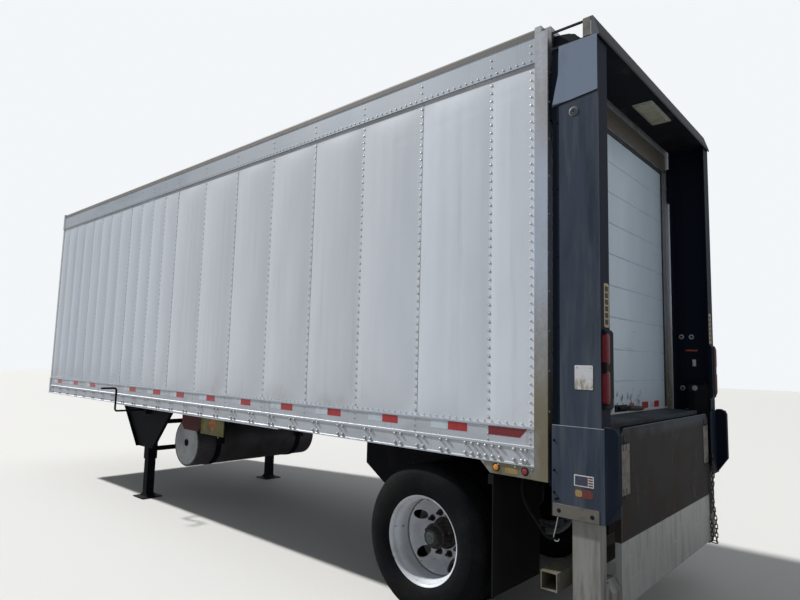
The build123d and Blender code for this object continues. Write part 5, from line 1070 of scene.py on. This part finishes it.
# Nose: the cooling unit's shell, doors, louvres, catches and hinges, the front wall's rivets, and the roof
unit = {"back": 4.168, "face": 4.6215, "front": 4.6275, "low": 1.760, "high": 3.800, "left": 0.8085,
        "right": -1.1415, "corner": 0.075, "grille": (-0.8665, 0.5335, 2.950, 3.620)}
around = np.linspace(0, np.pi / 2, 9)
planX = np.concatenate([[unit["back"]], unit["face"] - unit["corner"] + unit["corner"] * np.sin(around)])
planY = np.concatenate([[unit["left"]], unit["left"] - unit["corner"] + unit["corner"] * np.cos(around)])
plan = np.concatenate([np.stack([planX, planY], -1),
                       np.stack([planX, unit["left"] + unit["right"] - planY], -1)[::-1]])
centreY = (unit["left"] + unit["right"]) / 2
rings = [(0.020, unit["low"]), (0.006, unit["low"] + 0.006), (0, unit["low"] + 0.020), (0, unit["high"] - 0.050),
         (0.010, unit["high"] - 0.022), (0.030, unit["high"] - 0.006), (0.060, unit["high"])]
shell = []
for inset, height in rings:
    ring = plan.copy()
    ring[:, 0] = np.where(ring[:, 0] > unit["back"], ring[:, 0] - inset, ring[:, 0])
    ring[:, 1] = centreY + (ring[:, 1] - centreY) * (1 - inset / 0.975)
    shell.append(np.insert(ring, 2, height, axis=1))
shellShape = gridShape(np.stack(shell), wrapColumns=True)
lid = np.arange(len(plan))[None]
shellShape = (shellShape[0], shellShape[1] + [lid, lid + (len(rings) - 1) * len(plan)])
piece("unitShell", shellShape, noseWhite, slot="white", replaces=("reefer_housing",), sharp=40)
y0, y1, z0, z1 = unit["grille"]
front, face = unit["front"], unit["face"]
doors = [slab((face - 0.002, front), span, (1.820, 2.900), 0.030) for span in ((-1.055, -0.180), (-0.154, 0.722))]
doors += [slab((face - 0.002, front), (-1.055, 0.722), (3.655, 3.725), 0.012)]
sideDoors = [slab((4.215, 4.525), (y, y + side * 0.005), span, 0.030) for span in ((1.84, 2.90), (2.96, 3.62))
             for y, side in ((unit["left"], 1), (unit["right"], -1))]
piece("unitDoors", joined(doors + sideDoors), noseWhite, bevel=0.0015, slot="white")
bar = 0.030
barSpans = (((y0 - bar, y0), (z0 - bar, z1 + bar)), ((y1, y1 + bar), (z0 - bar, z1 + bar)),
            ((y0, y1), (z1, z1 + bar)),
            ((y0, y1), (z0 - bar, z0)))
frameBars = [slab((face - 0.002, front + 0.0003), ySpan, zSpan, 0.004) for ySpan, zSpan in barSpans]
piece("grilleFrame", joined(frameBars), noseGrey, slot="white")
slatLine = [slab((face + 0.0005, front - 0.0005), (y0, y1), (z, z + 0.020), 0.002)
            for z in np.arange(z0 + 0.004, z1 - 0.02, 0.0372)]
posts = [slab((face + 0.0002, front - 0.0002), (y - 0.012, y + 0.012), (z0, z1), 0.003)
         for y in (-0.400, -0.1665, 0.067)]
piece("grilleSlats", joined(slatLine + posts), noseGrey, slot="black_steel")
piece("grilleShade", slab((face - 0.001, face + 0.0006), (y0, y1), (z0, z1), 0.002), doorSeal, slot="black_steel",
      replaces=("reefer_grille",))
catches = [slab((front - 0.001, front + 0.0005), (y - 0.022, y + 0.022), (z - 0.045, z + 0.045), 0.008)
           for y in (-0.215, -0.118) for z in (2.05, 2.68)]
piece("unitCatches", joined(catches), blackSteel, slot="black_steel")
hinges = [tube(((4.6085, y, z - 0.06), (4.6085, y, z + 0.06)), 0.009, 10) for y in (-1.098, 0.765)
          for z in (1.98, 2.36, 2.74)]
hinges += [tube(((4.196, y, z - 0.05), (4.196, y, z + 0.05)), 0.008, 10)
           for y in (unit["left"] + 0.004, unit["right"] - 0.004)
           for z in (2.0, 2.7, 3.3)]
piece("unitHinges", joined(hinges), noseGrey, slot="black_steel")
noseFace = 4.160
noseRivets = [(noseFace, y, z) for y in np.concatenate([np.arange(-1.30, -1.16, 0.06), np.arange(0.84, 1.0, 0.06)])
              for z in np.arange(1.42, 3.62, 0.11)]
noseRivets += [(noseFace, y, z) for y in np.arange(-1.10, 0.80, 0.0762) for z in (1.395, 1.72)]
rows("noseRivets", bandRivet, (1, 0, 0), noseRivets, rivetWhite, facing="asBuilt", slot="white")
frontBolts = [(unit["back"], y, z) for y in np.arange(-1.28, 0.98, 0.1016) for z in (1.16, 1.30)]
rows("frontBolts", smallBolt, (1, 0, 0), frontBolts, boltMetal, slot="galvanised")
roof = {"rivetZ": 3.8955, "rivetY": (-1.285, 0.952), "rivetEnd": 4.05, "rivetPitch": 0.0762,
        "bowY": (-1.27, 0.937), "bowZ": (3.8945, 3.8962), "bowPitch": 0.6096}
roofRivets = [(x, y, roof["rivetZ"]) for x in np.arange(-roof["rivetEnd"], roof["rivetEnd"], roof["rivetPitch"])
              for y in roof["rivetY"]]
rows("roofRivets", domeShape(0.007, 0.0014), (0, 0, 1), roofRivets, rivetWhite, facing="asBuilt", slot="white")
bows = [slab((x - 0.020, x + 0.020), roof["bowY"], roof["bowZ"], 0.010)
        for x in np.arange(-3.8, 4.0, roof["bowPitch"])]
piece("roofBows", joined(bows), roofWhite, slot="white")
print("nose and roof detailed")

# Header canopy: end flanges and plates, black plates of painted shade in its hollow sides, and the dome lamp in its
# frame
for sideName, side in bothSides:
    y = sideY(side, 0.0006)
    flange = plateShape(((-4.5465, 3.702), (-4.5465, 3.7125), (-4.5085, 3.8325), (-4.4965, 3.8325),
                         (-4.4965, 3.702)), y,
                        y - side * 0.0032, 1)
    piece("canopyFlange_" + sideName, flange, flapPaint, slot="charcoal")
    piece("canopyEnd_" + sideName, slab((-4.4445, -4.4940), (y, y - side * 0.0032), (3.717, 3.832), 0.003),
          stripSteel, slot="charcoal")
    # black plates of painted shade where the canopy's sides hold only a dark hollow
    shadowOutline = ((-4.243, 3.7165), (-4.243, 3.812), (-4.290, 3.806), (-4.340, 3.796), (-4.385, 3.770), (-4.425, 3.730),
             (-4.432, 3.7165))
    piece("canopyShadow_" + sideName, plateShape(shadowOutline, sideY(side, 0.040), sideY(side, 0.045), 1), soffitBlack,
          slot="black_steel")
frameOuter = outlineBox(0.150, 0.464, 0.012, 3)
frameLevels = ((0, 3.710), (0, 3.7075), (0.004, 3.7045), (0.014, 3.7045))
lampPlace = (-4.412, -0.2825)
piece("domeFrame", domed(frameOuter, lampPlace, frameLevels, 2), paleCap, slot="pale_lens")
lensLevels = ((0, 3.7045), (0, 3.7000), (0.006, 3.6972), (0.020, 3.6962))
domeShell = domed(outlineBox(0.124, 0.436, 0.016, 4), lampPlace, lensLevels, 2)
piece("domeLens", domeShell, lensPale, slot="pale_lens", replaces=("dome_lamp",))
piece("domeRibs", joined([slab((-4.462, -4.362), (y - 0.0022, y + 0.0022), (3.6962, 3.6950), 0.001)
                          for y in np.linspace(-0.47, -0.095, 24)]), lensPale, slot="pale_lens")
print("canopy detailed")

# Hoses and a wire hook behind the rear bracket
hoses = {"line": ((-3.981, 1.125), (-3.981, 1.054), (-3.975, 0.955), (-3.989, 0.897), (-4.031, 0.833),
                  (-4.085, 0.772), (-4.132, 0.717), (-4.171, 0.705), (-4.203, 0.715)), "y": 0.932}
hoseLine = smoothLine(hoses["line"], 40)
hoseShapes = [tube(np.insert(hoseLine + (shift, 0), 1, hoses["y"] - 1.5 * shift, axis=1), 0.0075, 8)
              for shift in (0.0, 0.021)]
piece("liftHoses", joined(hoseShapes), rubber, slot="rubber")
hook = smoothLine(((-4.216, 0.838), (-4.202, 0.775), (-4.188, 0.720), (-4.196, 0.700), (-4.216, 0.700),
                   (-4.222, 0.714)), 26)
piece("wireHook", tube(np.insert(hook, 1, hoses["y"], axis=1), 0.0032, 8), brightSteel, slot="galvanised")
print("hoses made")


# Floor, light and camera. What the camera sees of floor and sky is paler than the light that they throw
light = {"floor": (0.36, 0.36, 0.355, 1), "floorSeen": (0.70, 0.70, 0.69, 1), "floorHalf": 60, "floorTop": -0.001,
         "sky": (0.94, 0.97, 1.0, 1), "skyPower": 0.22, "skySeen": 0.95,
         "sunPower": 4.4, "sunAngle": 2.5, "sunColor": (1, 0.985, 0.96), "sunAim": (-0.745, -0.175, -0.645),
         "lampSize": 6, "rear": ((-14, -4, 6), (-4, 0, 2), 90), "front": ((12, -10, 9), (1, 0, 2), 60)}
floorPaint = bpy.data.materials.new("floorPaint")
floorPaint.use_nodes = True
tree = floorPaint.node_tree
rays = added(tree, "LightPath", {}).outputs
mixed = added(tree, "Mix", {"Factor": rays["Is Camera Ray"], 6: light["floor"], 7: light["floorSeen"]},
              data_type="RGBA")
wired(tree.nodes["Principled BSDF"], {"Base Color": mixed.outputs[2], "Roughness": 0.9})
floorMesh = bpy.data.meshes.new("floor")
half, top = light["floorHalf"], light["floorTop"]
floorMesh.from_pydata([(-half, -half, top), (half, -half, top), (half, half, top), (-half, half, top)], [],
                      [(0, 1, 2, 3)])
floorMesh.materials.append(floorPaint)
floor = bpy.data.objects.new("floor", floorMesh)
bpy.context.collection.objects.link(floor)

scene = bpy.context.scene
scene.view_settings.view_transform = "Standard"
scene.world = bpy.data.worlds.new("studio")
scene.world.use_nodes = True
tree = scene.world.node_tree
rays = added(tree, "LightPath", {}).outputs
seen = added(tree, "Math", {0: rays["Is Camera Ray"], 1: rays["Is Transmission Ray"]},
             operation="MAXIMUM").outputs[0]
seen = added(tree, "Math", {0: seen, 1: rays["Is Glossy Ray"]}, operation="MAXIMUM").outputs[0]
power = added(tree, "MapRange", {"Value": seen, "To Min": light["skyPower"], "To Max": light["skySeen"]})
wired(tree.nodes["Background"], {"Color": light["sky"], "Strength": power.outputs["Result"]})


def aimed(name, data, way, place=(0, 0, 0)):
    made = bpy.data.objects.new(name, data)
    made.location = place
    made.rotation_euler = Vector(way).to_track_quat("-Z", "Y").to_euler()
    bpy.context.collection.objects.link(made)


sun = bpy.data.lights.new("sun", "SUN")
sun.energy, sun.angle, sun.color = light["sunPower"], math.radians(light["sunAngle"]), light["sunColor"]
aimed("sun", sun, light["sunAim"])
for name in ("rear", "front"):
    place, target, watts = light[name]
    lamp = bpy.data.lights.new(name, "AREA")
    lamp.shape, lamp.size, lamp.energy = "DISK", light["lampSize"], watts
    aimed(name, lamp, Vector(target) - Vector(place), place)

viewpoint = {"place": (-5.863, 4.252, 1.729), "yaw": -48.389, "pitch": 6.089, "roll": 1.507, "focalPixels": 581.99}
yaw, pitch, roll = (math.radians(viewpoint[key]) for key in ("yaw", "pitch", "roll"))
ahead = Vector((math.cos(pitch) * math.cos(yaw), math.cos(pitch) * math.sin(yaw), math.sin(pitch)))
rightward = Vector((math.sin(yaw), -math.cos(yaw), 0))
upward = rightward.cross(ahead)
camRight = rightward * math.cos(roll) + upward * math.sin(roll)
camUp = upward * math.cos(roll) - rightward * math.sin(roll)
camera = bpy.data.objects.new("camera", bpy.data.cameras.new("camera"))
camera.data.sensor_width = 36
camera.data.lens = 36 * viewpoint["focalPixels"] / 800
camera.data.clip_start, camera.data.clip_end = 0.05, 400
cameraTurn = Matrix((camRight, camUp, -ahead)).transposed().to_4x4()
camera.matrix_world = Matrix.Translation(viewpoint["place"]) @ cameraTurn
bpy.context.collection.objects.link(camera)
scene.camera = camera

print("scene ready")
